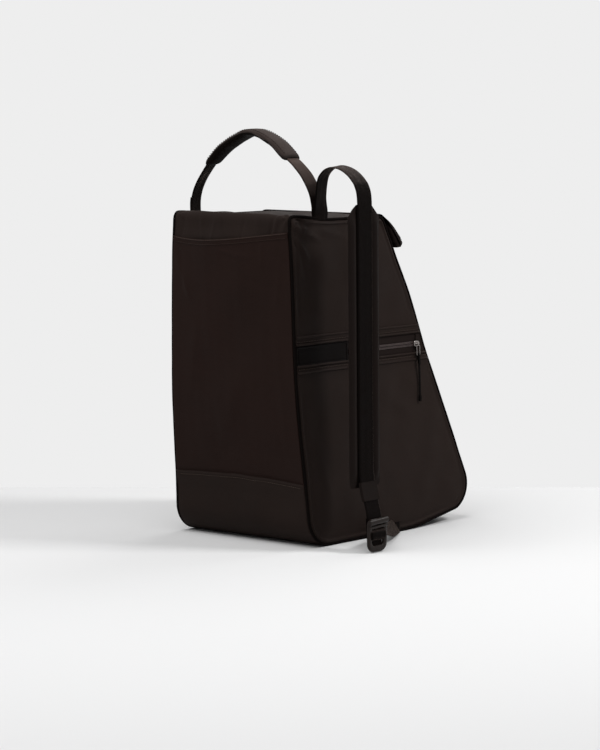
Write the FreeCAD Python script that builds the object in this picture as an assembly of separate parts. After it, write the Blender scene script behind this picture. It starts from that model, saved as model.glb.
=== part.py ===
"""Wedge-shaped boot bag: cloth panels sewn round a hollow body, with handle, strap, zips, flap and front door.

Frame: +Z up, +Y towards the flat back face, -Y towards the sloping front, -X towards the shoulder strap.
Origin: middle of the base, on the surface that the bag stands on. All lengths are in millimetres.
"""
import FreeCAD
import Part
import math
import os

V = FreeCAD.Vector

# ---- body: outer size and side outline -----------------------------------------------------------
BODY_HEIGHT = 449.0
BASE_WIDTH = 248.0
TOP_WIDTH = 210.5
TOP_DEPTH = 203.0
BACK_TOP_Y = 214.0          # back face at the top
BACK_KNEE_Y = 209.0         # back face where it starts to lean in
BACK_KNEE_Z = 190.0
BASE_BACK_Y = 188.0         # where back and base would meet without their round corner
BASE_FRONT_Y = -40.0        # where the base starts to rise to the toe
TOE_Y = -186.0
TOE_Z = 24.0
BACK_CORNER_R = 58.0
KNEE_R = 900.0
TOP_BACK_R = 9.0
TOP_FRONT_R = 16.0
TOE_R = 37.0
TOE_RISE_R = 320.0

# ---- cloth, foam and tape ------------------------------------------------------------------------
CLOTH = 2.5                 # outer panels: cloth backed with foam
PADDING = 3.0               # board and foam behind the panels
LINING = 0.8
PIPING_D = 3.0
TAPE = 1.0                  # zip tape
WELT = 1.2
RUBBER_PROUD = 0.6
FIT = 0.2                   # ease between layers that lie on each other
MOVING_GAP = 0.4            # ease between parts that move past each other
BINDING_DEPTH = 9.5
BINDING_WIDTH = 1.5
POCKET_ROOM = 6.0           # space inside the side pocket

# ---- seams ---------------------------------------------------------------------------------------
BASE_SEAM_Z = 92.0          # top of the base panel, on the back
TOP_SEAM_DROP = 15.0        # from the top down to the lower edge of the top panel, on the back
FRONT_SEAM_U = 16.0         # top panel's front edge, measured down the slope
TOP_EDGE_MARGIN = 12.0

# ---- slip pocket on the back ---------------------------------------------------------------------
SLIP_MOUTH_DROP = 30.0      # from the top down to the pocket's mouth
SLIP_BULGE_TOP = 11.0
SLIP_BULGE_BASE = 5.0
SLIP_CLOTH = 1.5
SLIP_FLANGE = 6.0
HEM_HEIGHT = 8.0
HEM_PROUD = 0.8

# ---- side pocket zip on the strap side -----------------------------------------------------------
SIDE_ZIP_Z = 264.0
SIDE_TAPE_HEIGHT = 30.0
SIDE_WELT_HEIGHT = 10.0
SIDE_ZIP_CLEAR = 1.5        # from the seam binding back to the slider at its closed end
SIDE_ZIP_BACK_Y = 95.0

# ---- zip parts -----------------------------------------------------------------------------------
CHAIN_GAP = 1.2             # slot between the two rows of teeth that the slider's neck runs in
TEETH_WIDTH = 2.6
TEETH_HEIGHT = 2.0
SLIDER_LENGTH = 12.0
SLIDER_WIDTH = 8.0
SLIDER_PLATE = 1.6
NECK_LENGTH = 4.0
NECK_THICK = 0.5
BAIL_LENGTH = 7.0
BAIL_BAR = 1.4
BAIL_RISE = 1.6
LINK_LENGTH = 17.0
LINK_WIDTH = 8.0
LINK_THICK = 1.4
LINK_RIM = 0.8
TAB_LENGTH = 57.0
TAB_WIDTH = 7.0
TAB_THICK = 2.0
FRONT_TAB_LENGTH = 40.0

# ---- front door ----------------------------------------------------------------------------------
DOOR_TOP_U = 72.0
DOOR_BOTTOM_U = 400.0
FRAME_STRIP = 24.0
ZIP_SHOW = 9.0              # width of zip that shows between door and frame
DOOR_CORNER_R = 32.0
TAPE_UNDER = 7.0            # how far the tape runs under the cloth it is sewn to
YOKE_LEG_U = 128.0
FRONT_SLIDER_X = 8.0

# ---- top flap ------------------------------------------------------------------------------------
FLAP_LENGTH = 59.0          # down the slope from the top edge
FLAP_HINGE_BACK = 12.0      # hinge seam, back from the top edge
FLAP_LIFT = 0.5
FLAP_STAND_OFF = 9.0        # underside of the free end, off the slope
FLAP_THICK = 14.0
FLAP_ROOT_THICK = 3.0
FLAP_INSET = 3.0
FLAP_TIP_R = 6.0
FLAP_BEND_U = 8.0
FLAP_BEND_OUT = 9.0
FLAP_BEND_R = 15.0

# ---- carry handle --------------------------------------------------------------------------------
HANDLE_Y = 158.0
HANDLE_PEAK = 140.0         # where the arch's two straight runs would meet, above the top panel
HANDLE_SHOULDER = 70.0
HANDLE_SHOULDER_IN = 5.0
HANDLE_SHOULDER_R = 60.0
HANDLE_STRAIGHT = 34.0      # straight length left between the arch's shoulder and its top curve
HANDLE_WEB_WIDTH = 25.0
HANDLE_WEB_THICK = 2.4
HANDLE_FOOT_IN = 4.0        # from the top edge in to the middle of the handle's webbing
GRIP_HALF_LENGTH = 82.0
GRIP_SHIFT = 6.0            # grip's middle, from the arch's middle towards the plain side
GRIP_WIDTH = 34.0
GRIP_THICK = 11.0
ANCHOR_THICK = 1.6

# ---- shoulder strap ------------------------------------------------------------------------------
STRAP_Y = 141.0
STRAP_WEB_WIDTH = 32.0
STRAP_WEB_THICK = 2.0
STRAP_EDGE_OUT = 1.8        # from the side face out to the middle of the strap's foot
STRAP_FOOT_LIFT = 2.0
STRAP_STAND_OFF = 76.0      # from the foot out to the hanging strap
STRAP_RISE = 73.0
STRAP_LEAN = 4.0            # how far the hanging strap leans out over its length
STRAP_IN_R = 34.0
STRAP_OUT_R = 36.0
STRAP_KICK_R = 60.0
STRAP_TURN_R = 2.5
STRAP_ANCHOR_LENGTH = 24.0
PAD_TOP_RISE = 19.0         # pad's top above the bag's top
PAD_BOTTOM_Z = 90.0
PAD_WIDTH = 66.0
PAD_THICK = 9.0
PAD_TAPER = 18.0
PAD_END_R = 6.0
BUCKLE_WIDTH = 40.0
BUCKLE_HEIGHT = 46.0
BUCKLE_THICK = 4.6
BUCKLE_BAR = 5.0
BUCKLE_CORNER_R = 6.0
BUCKLE_FLOOR_GAP = 0.4
BUCKLE_KICK = 18.0          # how far the strap swings out between pad and buckle
LOWER_WEB_WIDTH = 25.0
LOWER_WEB_THICK = 1.6
LOWER_ANCHOR_Y = 2.0
LOWER_ANCHOR_Z = 17.0
LOWER_ANCHOR_LENGTH = 22.0
LOWER_WEB_CLEAR = 6.0       # from the swing line to where the moving webbing starts

TOP_Z = BODY_HEIGHT
TOP_SEAM_Z = TOP_Z - TOP_SEAM_DROP
SLIP_MOUTH_Z = TOP_Z - SLIP_MOUTH_DROP
PAD_TOP_Z = TOP_Z + PAD_TOP_RISE
TOP_FRONT_Y = BACK_TOP_Y - TOP_DEPTH
SIDE_LEAN = (BASE_WIDTH - TOP_WIDTH) / 2 / BODY_HEIGHT
SLOPE_LENGTH = math.hypot(TOP_FRONT_Y - TOE_Y, TOP_Z - TOE_Z)
SLOPE_Y = (TOP_FRONT_Y - TOE_Y) / SLOPE_LENGTH
SLOPE_Z = (TOP_Z - TOE_Z) / SLOPE_LENGTH
MIDDLE_Y = BACK_TOP_Y - TOP_DEPTH / 2
FAR = 400.0                 # past every face of the bag, for cutting shapes

SIDE_ZIP_FRONT_Y = (TOP_FRONT_Y - (TOP_Z - SIDE_ZIP_Z - SLIDER_WIDTH / 2) * SLOPE_Y / SLOPE_Z
                    + (PIPING_D + BINDING_DEPTH + SIDE_ZIP_CLEAR) / SLOPE_Z)

STRAP_SIDE = -1
PLAIN_SIDE = 1


def half_width(z):
    """Half the body's width at height z."""
    return BASE_WIDTH / 2 - SIDE_LEAN * z


# ---- outlines ------------------------------------------------------------------------------------
def unit(a, b):
    """Unit vector from point a to point b in a plane, and the distance."""
    length = math.hypot(b[0] - a[0], b[1] - a[1])
    return (b[0] - a[0]) / length, (b[1] - a[1]) / length, length


def corner_arc(before, corner, after):
    """The two tangent points and the middle of the arc that rounds a corner (a, b, radius)."""
    radius = corner[2]
    bx, by, _ = unit(corner, before)
    ax, ay, _ = unit(corner, after)
    half = math.acos(max(-1.0, min(1.0, bx * ax + by * ay))) / 2
    reach = radius / math.tan(half)
    mx, my = bx + ax, by + ay
    scale = (radius / math.sin(half) - radius) / math.hypot(mx, my)
    start = (corner[0] + bx * reach, corner[1] + by * reach)
    middle = (corner[0] + mx * scale, corner[1] + my * scale)
    end = (corner[0] + ax * reach, corner[1] + ay * reach)
    return start, middle, end


def rounded_edges(corners, place, closed=True):
    """Edges through corners (a, b, radius), with an arc at each corner that has a radius."""
    count = len(corners)
    stops = []
    for i, corner in enumerate(corners):
        inner = closed or 0 < i < count - 1
        if inner and corner[2] > 0:
            stops.append(corner_arc(corners[i - 1], corner, corners[(i + 1) % count]))
        else:
            stops.append((corner[:2], None, corner[:2]))
    edges = []
    for i, (start, middle, end) in enumerate(stops):
        if middle:
            edges.append(Part.Arc(place(*start), place(*middle), place(*end)).toShape())
        if i < count - 1 or closed:
            following = stops[(i + 1) % count][0]
            if math.hypot(following[0] - end[0], following[1] - end[1]) > 1e-6:
                edges.append(Part.LineSegment(place(*end), place(*following)).toShape())
    return edges


def inset(corners, distance):
    """A convex outline, counter-clockwise, moved inwards by distance."""
    count = len(corners)
    lines = []
    for i in range(count):
        dx, dy, _ = unit(corners[i], corners[(i + 1) % count])
        lines.append((corners[i][0] - dy * distance, corners[i][1] + dx * distance, dx, dy))
    moved = []
    for i in range(count):
        px, py, dx, dy = lines[i - 1]
        qx, qy, ex, ey = lines[i]
        along = ((qx - px) * ey - (qy - py) * ex) / (dx * ey - dy * ex)
        radius = max(corners[i][2] - distance, 0.5) if corners[i][2] > 0 else 0
        moved.append((px + dx * along, py + dy * along, radius))
    return moved


def ribbon_outline(path, thickness):
    """Closed corners of a ribbon of one thickness along an open path of (a, b, radius)."""
    sides = []
    for sign in (1, -1):
        shift = sign * thickness / 2
        side = []
        for i, point in enumerate(path):
            before = unit(path[max(i - 1, 0)], path[max(i, 1)])
            after = unit(path[min(i, len(path) - 2)], path[min(i + 1, len(path) - 1)])
            nx, ny = -before[1] - after[1], before[0] + after[0]
            size = math.hypot(nx, ny)
            nx, ny = nx / size, ny / size
            spread = shift / (nx * -before[1] + ny * before[0])
            turn = before[0] * after[1] - before[1] * after[0]
            radius = point[2] - shift * (1 if turn > 0 else -1) if point[2] > 0 else 0
            side.append((point[0] + nx * spread, point[1] + ny * spread, radius))
        sides.append(side)
    return sides[0] + sides[1][::-1]


def prism(corners, place, along):
    """Solid made by moving a flat rounded outline along a vector."""
    wire = Part.Wire(Part.__sortEdges__(rounded_edges(corners, place)))
    return Part.Face(wire).extrude(along)


def side_prism(corners, x0=-FAR, x1=FAR):
    """Solid with a (y, z) outline, from x0 to x1."""
    return prism(corners, lambda y, z: V(x0, y, z), V(x1 - x0, 0, 0))


def front_prism(corners, y0, y1):
    """Solid with an (x, z) outline, from y0 to y1."""
    return prism(corners, lambda x, z: V(x, y0, z), V(0, y1 - y0, 0))


def block(x0, x1, y0, y1, z0, z1):
    """Box between two corners."""
    return Part.makeBox(x1 - x0, y1 - y0, z1 - z0, V(x0, y0, z0))


def body_outline(distance=0.0):
    """The side outline of the bag, moved inwards by distance."""
    corners = [
        (BASE_FRONT_Y, 0.0, TOE_RISE_R),
        (BASE_BACK_Y, 0.0, BACK_CORNER_R),
        (BACK_KNEE_Y, BACK_KNEE_Z, KNEE_R),
        (BACK_TOP_Y, TOP_Z, TOP_BACK_R),
        (TOP_FRONT_Y, TOP_Z, TOP_FRONT_R),
        (TOE_Y, TOE_Z, TOE_R),
    ]
    return inset(corners, distance) if distance else corners


def between_sides(strap_inset, plain_inset):
    """Everything between the two leaning side faces, each moved inwards."""
    corners = []
    for side, depth in ((PLAIN_SIDE, plain_inset), (STRAP_SIDE, strap_inset)):
        for z in (-FAR, 2 * FAR) if side == PLAIN_SIDE else (2 * FAR, -FAR):
            corners.append((side * (half_width(z) - depth), z, 0))
    return front_prism(corners, -FAR, FAR)


def side_slab(side, inner, outer):
    """Slab along a leaning side face, between two depths below that face (negative is outside)."""
    corners = [
        (side * (half_width(-FAR) - inner), -FAR, 0),
        (side * (half_width(-FAR) - outer), -FAR, 0),
        (side * (half_width(2 * FAR) - outer), 2 * FAR, 0),
        (side * (half_width(2 * FAR) - inner), 2 * FAR, 0),
    ]
    return front_prism(corners, -FAR, FAR)


def slope_point(u, n):
    """(y, z) of a point u down the slope from the top edge and n out from its face."""
    return TOP_FRONT_Y - u * SLOPE_Y - n * SLOPE_Z, TOP_Z - u * SLOPE_Z + n * SLOPE_Y


def slope_plate(corners, n0, n1):
    """Plate parallel to the slope with an outline of (x, u, radius), between two heights off it."""
    def place(x, u):
        y, z = slope_point(u, n0)
        return V(x, y, z)
    return prism(corners, place, V(0, -(n1 - n0) * SLOPE_Z, (n1 - n0) * SLOPE_Y))


def slope_half_width(u):
    """Half the body's width at a distance u down the slope."""
    return half_width(slope_point(u, 0)[1])


def cut_line(u):
    """Two (y, z) points on the line across the slope's thickness at u, inside first."""
    return slope_point(u, -60.0), slope_point(u, 60.0)


# ---- bag shell -----------------------------------------------------------------------------------
def band(outer, inner, strap_inset, plain_inset):
    """Closed strip round the bag between two depths and two side insets."""
    ring = side_prism(body_outline(outer)).cut(side_prism(body_outline(inner)))
    return ring.common(between_sides(strap_inset, plain_inset))


def base_region(back_z, front_u):
    """Cutting shape that holds the base, up to a height on the back and a line on the slope."""
    inside, outside = cut_line(front_u)
    corners = [(-FAR, -FAR), (FAR, -FAR), (FAR, back_z), (0.0, back_z), inside, outside, (-FAR, outside[1])]
    return side_prism([(y, z, 0) for y, z in corners])


def top_region(back_z, front_u):
    """Cutting shape that holds the top, down to a height on the back and a line on the slope."""
    inside, outside = cut_line(front_u)
    corners = [(FAR, back_z), (FAR, FAR * 2), (outside[0], FAR * 2), outside, inside, (inside[0], back_z)]
    return side_prism([(y, z, 0) for y, z in corners])


def shell_panels():
    """Outer band: base, back and top panels, edge to edge at their seams."""
    strip = band(0, CLOTH, PIPING_D, PIPING_D)
    back = block(-FAR, FAR, MIDDLE_Y, FAR, BASE_SEAM_Z, TOP_SEAM_Z)
    return {
        "base_panel": strip.common(base_region(BASE_SEAM_Z, DOOR_BOTTOM_U + MOVING_GAP)),
        "back_panel": strip.common(back),
        "top_panel": strip.common(top_region(TOP_SEAM_Z, FRONT_SEAM_U)),
    }


def side_depths():
    """Inner face of the side walls on the strap side and on the plain side."""
    strap = CLOTH + POCKET_ROOM + LINING
    plain = CLOTH + BINDING_WIDTH + LINING
    return strap, plain


def padding_and_lining():
    """Base board, back foam and top stiffener behind the panels, and the lining inside them."""
    strap, plain = side_depths()
    layer = band(CLOTH, CLOTH + PADDING, strap + FIT, plain + FIT)
    cloth = band(CLOTH + PADDING, CLOTH + PADDING + LINING, strap + FIT, plain + FIT)
    edge = TOP_EDGE_MARGIN
    board = block(-FAR, FAR, TOE_Y + 2 * TOE_R, BASE_BACK_Y - BACK_CORNER_R / 2, -FAR, BASE_SEAM_Z)
    foam = block(-FAR, FAR, MIDDLE_Y, FAR, BASE_SEAM_Z + edge, TOP_SEAM_Z - edge)
    stiffener = block(-FAR, FAR, TOP_FRONT_Y + edge + TOP_FRONT_R, BACK_TOP_Y - TOP_BACK_R - edge,
                      TOP_SEAM_Z, FAR * 2)
    lined = base_region(BASE_SEAM_Z, DOOR_BOTTOM_U + TOP_EDGE_MARGIN)
    lined = lined.fuse(block(-FAR, FAR, MIDDLE_Y, FAR, BASE_SEAM_Z, TOP_SEAM_Z))
    lined = lined.fuse(top_region(TOP_SEAM_Z, FRONT_SEAM_U + 2 * LINING))
    return {
        "base_board": layer.common(board),
        "back_foam": layer.common(foam),
        "top_stiffener": layer.common(stiffener),
        "body_lining": cloth.common(lined).removeSplitter(),
    }


def side_walls():
    """Plain side panel and its lining; strap side panels above and below the pocket zip; pocket wall."""
    outline = side_prism(body_outline(PIPING_D))
    inner = side_prism(body_outline(CLOTH + FIT))
    face = side_slab(STRAP_SIDE, CLOTH, 0).common(outline)
    top = SIDE_ZIP_Z + SIDE_TAPE_HEIGHT / 2
    bottom = SIDE_ZIP_Z - SIDE_TAPE_HEIGHT / 2
    _, plain = side_depths()
    wall = side_slab(STRAP_SIDE, CLOTH + POCKET_ROOM + LINING, CLOTH + POCKET_ROOM)
    return {
        "plain_side_panel": side_slab(PLAIN_SIDE, CLOTH, 0).common(outline),
        "plain_side_lining": side_slab(PLAIN_SIDE, plain, plain - LINING).common(inner),
        "strap_side_upper_panel": face.common(block(-FAR, FAR, -FAR, FAR, top, FAR * 2)),
        "side_pocket_front": face.common(block(-FAR, FAR, -FAR, FAR, -FAR, bottom)),
        "side_pocket_wall": wall.common(inner),
    }


def seam_binding(side, width):
    """Tape that binds the seam allowance inside the joint of a side panel and the band."""
    ring = side_prism(body_outline(PIPING_D)).cut(side_prism(body_outline(PIPING_D + BINDING_DEPTH)))
    return ring.common(side_slab(side, CLOTH + width, CLOTH))


def piping(side):
    """Corded edge that closes the corner between a side panel and the band."""
    ring = side_prism(body_outline()).cut(side_prism(body_outline(PIPING_D)))
    return ring.common(side_slab(side, PIPING_D, 0))


def slip_pocket():
    """Slip pocket on the back: cloth that bows out from the back panel, open along the top."""
    def crescent(z, bulge, edge_in, base_y):
        half = half_width(z) - PIPING_D - FIT - edge_in
        depth = SLIP_CLOTH * 0.8 if not edge_in else 0.3
        points = [V(-half, base_y, z), V(-half, base_y + depth, z), V(half, base_y + depth, z), V(half, base_y, z)]
        base_y = base_y + depth
        edges = [
            Part.LineSegment(points[0], points[1]).toShape(),
            Part.Arc(points[1], V(0, base_y + bulge, z), points[2]).toShape(),
            Part.LineSegment(points[2], points[3]).toShape(),
            Part.LineSegment(points[3], points[0]).toShape(),
        ]
        return Part.Wire(edges)

    def back_y(z):
        if z < BACK_KNEE_Z:
            return BACK_KNEE_Y - (BACK_KNEE_Y - BASE_BACK_Y) * (1 - z / BACK_KNEE_Z)
        return BACK_KNEE_Y + (BACK_TOP_Y - BACK_KNEE_Y) * (z - BACK_KNEE_Z) / (TOP_Z - BACK_KNEE_Z)

    def bag_of_cloth(edge_in, shrink, z0, z1):
        sections = []
        for z in (z0, BACK_KNEE_Z, z1):
            share = (z - BASE_SEAM_Z) / (SLIP_MOUTH_Z - BASE_SEAM_Z)
            bulge = SLIP_BULGE_BASE + (SLIP_BULGE_TOP - SLIP_BULGE_BASE) * share - shrink
            sections.append(crescent(z, bulge, edge_in, back_y(z)))
        return Part.makeLoft(sections, True, True)

    outside = bag_of_cloth(0.0, 0.0, BASE_SEAM_Z, SLIP_MOUTH_Z)
    inside = bag_of_cloth(SLIP_FLANGE, SLIP_CLOTH, BASE_SEAM_Z + SLIP_FLANGE, SLIP_MOUTH_Z + SLIP_FLANGE)
    return outside.cut(inside).cut(side_prism(body_outline()))


# ---- slip pocket hem -----------------------------------------------------------------------------
def slip_hem(pocket):
    """Tape sewn along the mouth of the slip pocket, on its outer face."""
    strip = pocket.common(block(-FAR, FAR, 0, FAR, SLIP_MOUTH_Z - HEM_HEIGHT, SLIP_MOUTH_Z))
    strip.translate(V(0, HEM_PROUD, 0))
    eased = pocket.copy()
    eased.translate(V(0, FIT / 2, 0))
    return strip.cut(eased).cut(block(-FAR, FAR, 0, BACK_TOP_Y + SLIP_CLOTH, -FAR, 2 * FAR))


# ---- zips ----------------------------------------------------------------------------------------
def side_plate(side, y0, y1, z0, z1, inner, outer):
    """Plate that lies in a leaning side face, between two depths below it (negative is outside)."""
    return side_slab(side, inner, outer).common(block(-FAR, FAR, y0, y1, z0, z1))


def side_pocket_zip():
    """Fixed parts of the side zip: welts, tapes, teeth, end tab and the bare rubber panel behind it."""
    outline = side_prism(body_outline(PIPING_D))
    half = SIDE_TAPE_HEIGHT / 2
    tape_face = CLOTH - TAPE
    parts = {}
    for name, way in (("upper", 1), ("lower", -1)):
        rim = SIDE_ZIP_Z + way * half
        chain = SIDE_ZIP_Z + way * CHAIN_GAP / 2
        welt = sorted((rim, rim + way * SIDE_WELT_HEIGHT))
        strip = side_plate(STRAP_SIDE, -FAR, FAR, welt[0], welt[1], 0, -WELT)
        parts[f"side_zip_{name}_welt"] = strip.common(outline)
        tape = sorted((rim, chain))
        parts[f"side_zip_{name}_tape"] = side_plate(
            STRAP_SIDE, SIDE_ZIP_FRONT_Y, SIDE_ZIP_BACK_Y, tape[0], tape[1], CLOTH, tape_face)
        row = sorted((chain, chain + way * TEETH_WIDTH))
        parts[f"side_zip_{name}_teeth"] = side_plate(
            STRAP_SIDE, SIDE_ZIP_FRONT_Y, SIDE_ZIP_BACK_Y, row[0], row[1], tape_face, tape_face - TEETH_HEIGHT)
    low, high = SIDE_ZIP_Z - half, SIDE_ZIP_Z + half
    parts["side_zip_end_tab"] = side_plate(
        STRAP_SIDE, -FAR, SIDE_ZIP_FRONT_Y, low, high, CLOTH, 0).common(outline)
    parts["side_rubber_panel"] = side_plate(
        STRAP_SIDE, SIDE_ZIP_BACK_Y, FAR, low, high, CLOTH, -RUBBER_PROUD).common(outline)
    return parts


def slider(lower_plate):
    """Zip slider in its own frame: x along the chain, y across it, z out from the tape's face.

    lower_plate is the (low y, high y) span of the plate behind the tape.
    """
    top = TEETH_HEIGHT + MOVING_GAP
    back = -TAPE - MOVING_GAP
    half = SLIDER_LENGTH / 2
    body = block(-half, half, -SLIDER_WIDTH / 2, SLIDER_WIDTH / 2, top, top + SLIDER_PLATE)
    body = body.fuse(block(-half, half, lower_plate[0], lower_plate[1], back - SLIDER_PLATE, back))
    body = body.fuse(block(-NECK_LENGTH / 2, NECK_LENGTH / 2, -NECK_THICK / 2, NECK_THICK / 2, back, top))
    face = top + SLIDER_PLATE
    for end in (-1, 1):
        foot = end * (BAIL_LENGTH - BAIL_BAR) / 2
        body = body.fuse(block(foot - BAIL_BAR / 2, foot + BAIL_BAR / 2, -BAIL_BAR / 2, BAIL_BAR / 2,
                               face, face + BAIL_RISE + BAIL_BAR))
    return body.fuse(block(-BAIL_LENGTH / 2, BAIL_LENGTH / 2, -BAIL_BAR / 2, BAIL_BAR / 2,
                           face + BAIL_RISE, face + BAIL_RISE + BAIL_BAR))


BAIL_AXIS = TEETH_HEIGHT + MOVING_GAP + SLIDER_PLATE + BAIL_RISE + BAIL_BAR / 2


def puller(tab_length):
    """Puller link and its tab, hung along -y from the bail of a slider in the slider's frame."""
    hole = BAIL_BAR * 0.75 + FIT / 4
    width = BAIL_LENGTH - 2 * BAIL_BAR - 2 * MOVING_GAP
    axis = V(-width / 2, 0, BAIL_AXIS)
    low = BAIL_AXIS - LINK_THICK / 2
    link = Part.makeCylinder(hole + LINK_RIM, width, axis, V(1, 0, 0))
    link = link.fuse(block(-LINK_WIDTH / 2, LINK_WIDTH / 2, -LINK_LENGTH, -hole - LINK_RIM / 2,
                           low, low + LINK_THICK))
    link = link.cut(Part.makeCylinder(hole, width, axis, V(1, 0, 0)))
    tab_low = BAIL_AXIS - TAB_THICK / 2
    tab = block(-TAB_WIDTH / 2, TAB_WIDTH / 2, -LINK_LENGTH - tab_length, -LINK_LENGTH,
                tab_low, tab_low + TAB_THICK)
    return link, tab


def placed(shape, origin, x_way, y_way, z_way):
    """Copy of a shape, moved from its own frame to an origin and three axes of the bag's frame."""
    copy = shape.copy()
    turn = FreeCAD.Matrix(x_way.x, y_way.x, z_way.x, origin.x,
                          x_way.y, y_way.y, z_way.y, origin.y,
                          x_way.z, y_way.z, z_way.z, origin.z,
                          0, 0, 0, 1)
    copy.Placement = FreeCAD.Placement(turn)
    return copy


def side_zip_runner():
    """Slider, link and tab of the side zip, at its closed front end."""
    up = V(SIDE_LEAN, 0, 1).normalize()
    out = V(-1, 0, SIDE_LEAN).normalize()
    y = SIDE_ZIP_FRONT_Y + SLIDER_LENGTH / 2
    origin = V(-(half_width(SIDE_ZIP_Z) - CLOTH + TAPE), y, SIDE_ZIP_Z)
    pieces = (slider((-SLIDER_WIDTH / 2, SLIDER_WIDTH / 2)),) + puller(TAB_LENGTH)
    names = ("side_zip_slider", "side_zip_pull_link", "side_zip_pull_tab")
    return {name: placed(piece, origin, V(0, -1, 0), up, out) for name, piece in zip(names, pieces)}


# ---- front ---------------------------------------------------------------------------------------
def door_outline(grow):
    """Outline (x, u, radius) of the door, moved outwards at its sides and top."""
    top = DOOR_TOP_U - grow
    inwards = PIPING_D + FRAME_STRIP + ZIP_SHOW - grow
    low = slope_half_width(DOOR_BOTTOM_U) - inwards
    high = slope_half_width(top) - inwards
    radius = DOOR_CORNER_R + grow
    return [(-low, DOOR_BOTTOM_U, 0), (low, DOOR_BOTTOM_U, 0), (high, top, radius), (-high, top, radius)]


def door_plate(grow, n0, n1):
    """Plate with the door's outline, moved outwards, between two heights off the slope."""
    return slope_plate(door_outline(grow), n0, n1)


def front_panels():
    """Fixed cloth round the door: the yoke above it and a strip down each side."""
    bottom = DOOR_BOTTOM_U + MOVING_GAP
    corners = []
    for u, side in ((FRONT_SEAM_U, -1), (bottom, -1), (bottom, 1), (FRONT_SEAM_U, 1)):
        corners.append((side * (slope_half_width(u) - PIPING_D), u, 0))
    hole = door_outline(ZIP_SHOW)
    hole[0] = (hole[0][0], bottom + MOVING_GAP, 0)
    hole[1] = (hole[1][0], bottom + MOVING_GAP, 0)
    frame = slope_plate(corners, -CLOTH, 0).cut(slope_plate(hole, -2 * CLOTH, CLOTH))
    above = side_prism([(y, z, 0) for y, z in (*cut_line(0), *cut_line(YOKE_LEG_U)[::-1])])
    legs = frame.cut(above)
    return {
        "front_yoke": frame.common(above),
        "strap_side_front_strip": legs.common(block(-FAR, 0, -FAR, FAR, -FAR, FAR * 2)),
        "plain_side_front_strip": legs.common(block(0, FAR, -FAR, FAR, -FAR, FAR * 2)),
    }


def front_door():
    """Door panel, its lining, and the two halves of its zip."""
    middle = ZIP_SHOW / 2
    door_edge = middle - CHAIN_GAP / 2
    frame_edge = middle + CHAIN_GAP / 2
    back = -CLOTH - TAPE
    teeth_top = -CLOTH + TEETH_HEIGHT

    def band_between(inner, outer, n0, n1):
        return door_plate(outer, n0, n1).cut(door_plate(inner, n0 - 1, n1 + 1))
    return {
        "front_door": door_plate(0, -CLOTH, 0),
        "front_door_lining": door_plate(-1, back - LINING, back),
        "front_zip_door_tape": band_between(-TAPE_UNDER, door_edge, back, -CLOTH),
        "front_zip_door_teeth": band_between(door_edge - TEETH_WIDTH, door_edge, -CLOTH, teeth_top),
        "front_zip_frame_tape": band_between(frame_edge, ZIP_SHOW + TAPE_UNDER, back, -CLOTH),
        "front_zip_frame_teeth": band_between(frame_edge, frame_edge + TEETH_WIDTH, -CLOTH, teeth_top),
    }


def front_zip_runners():
    """The two sliders of the front zip where they meet, at the middle of the door's top edge."""
    up = V(0, SLOPE_Y, SLOPE_Z)
    out = V(0, -SLOPE_Z, SLOPE_Y)
    y, z = slope_point(DOOR_TOP_U - ZIP_SHOW / 2, -CLOTH)
    pieces = (slider((-SLIDER_WIDTH / 2, NECK_THICK / 2)),) + puller(FRONT_TAB_LENGTH)
    parts = {}
    for name, side in (("strap_side", STRAP_SIDE), ("plain_side", PLAIN_SIDE)):
        origin = V(side * FRONT_SLIDER_X, y, z)
        for label, piece in zip(("slider", "pull_link", "pull_tab"), pieces):
            parts[f"front_zip_{name}_{label}"] = placed(piece, origin, V(1, 0, 0), up, out)
    return parts


def top_flap():
    """Padded flap, hinged on the top panel, that bends over the front edge and stands off the slope."""
    root_y = TOP_FRONT_Y + FLAP_HINGE_BACK
    low = TOP_Z + FLAP_LIFT
    corners = [
        (root_y, low, 0),
        (root_y - FLAP_ROOT_THICK, low + FLAP_ROOT_THICK, 0),
        (*slope_point(FLAP_BEND_U, FLAP_BEND_OUT), FLAP_BEND_R),
        (*slope_point(FLAP_LENGTH, FLAP_STAND_OFF + FLAP_THICK), FLAP_TIP_R),
        (*slope_point(FLAP_LENGTH, FLAP_STAND_OFF), FLAP_TIP_R),
        (TOP_FRONT_Y, low, FLAP_TIP_R),
    ]
    return side_prism(corners).common(between_sides(FLAP_INSET, FLAP_INSET))


# ---- carry handle --------------------------------------------------------------------------------
HANDLE_AXIS_Z = TOP_Z + HANDLE_WEB_WIDTH / 2 + 2 * MOVING_GAP
HANDLE_FOOT_X = TOP_WIDTH / 2 - HANDLE_FOOT_IN


def foot_disc(x0, x1):
    """Rounded end of the handle's webbing, about the line that the handle swings on."""
    return Part.makeCylinder(HANDLE_WEB_WIDTH / 2, x1 - x0, V(x0, HANDLE_Y, HANDLE_AXIS_Z), V(1, 0, 0))


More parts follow.
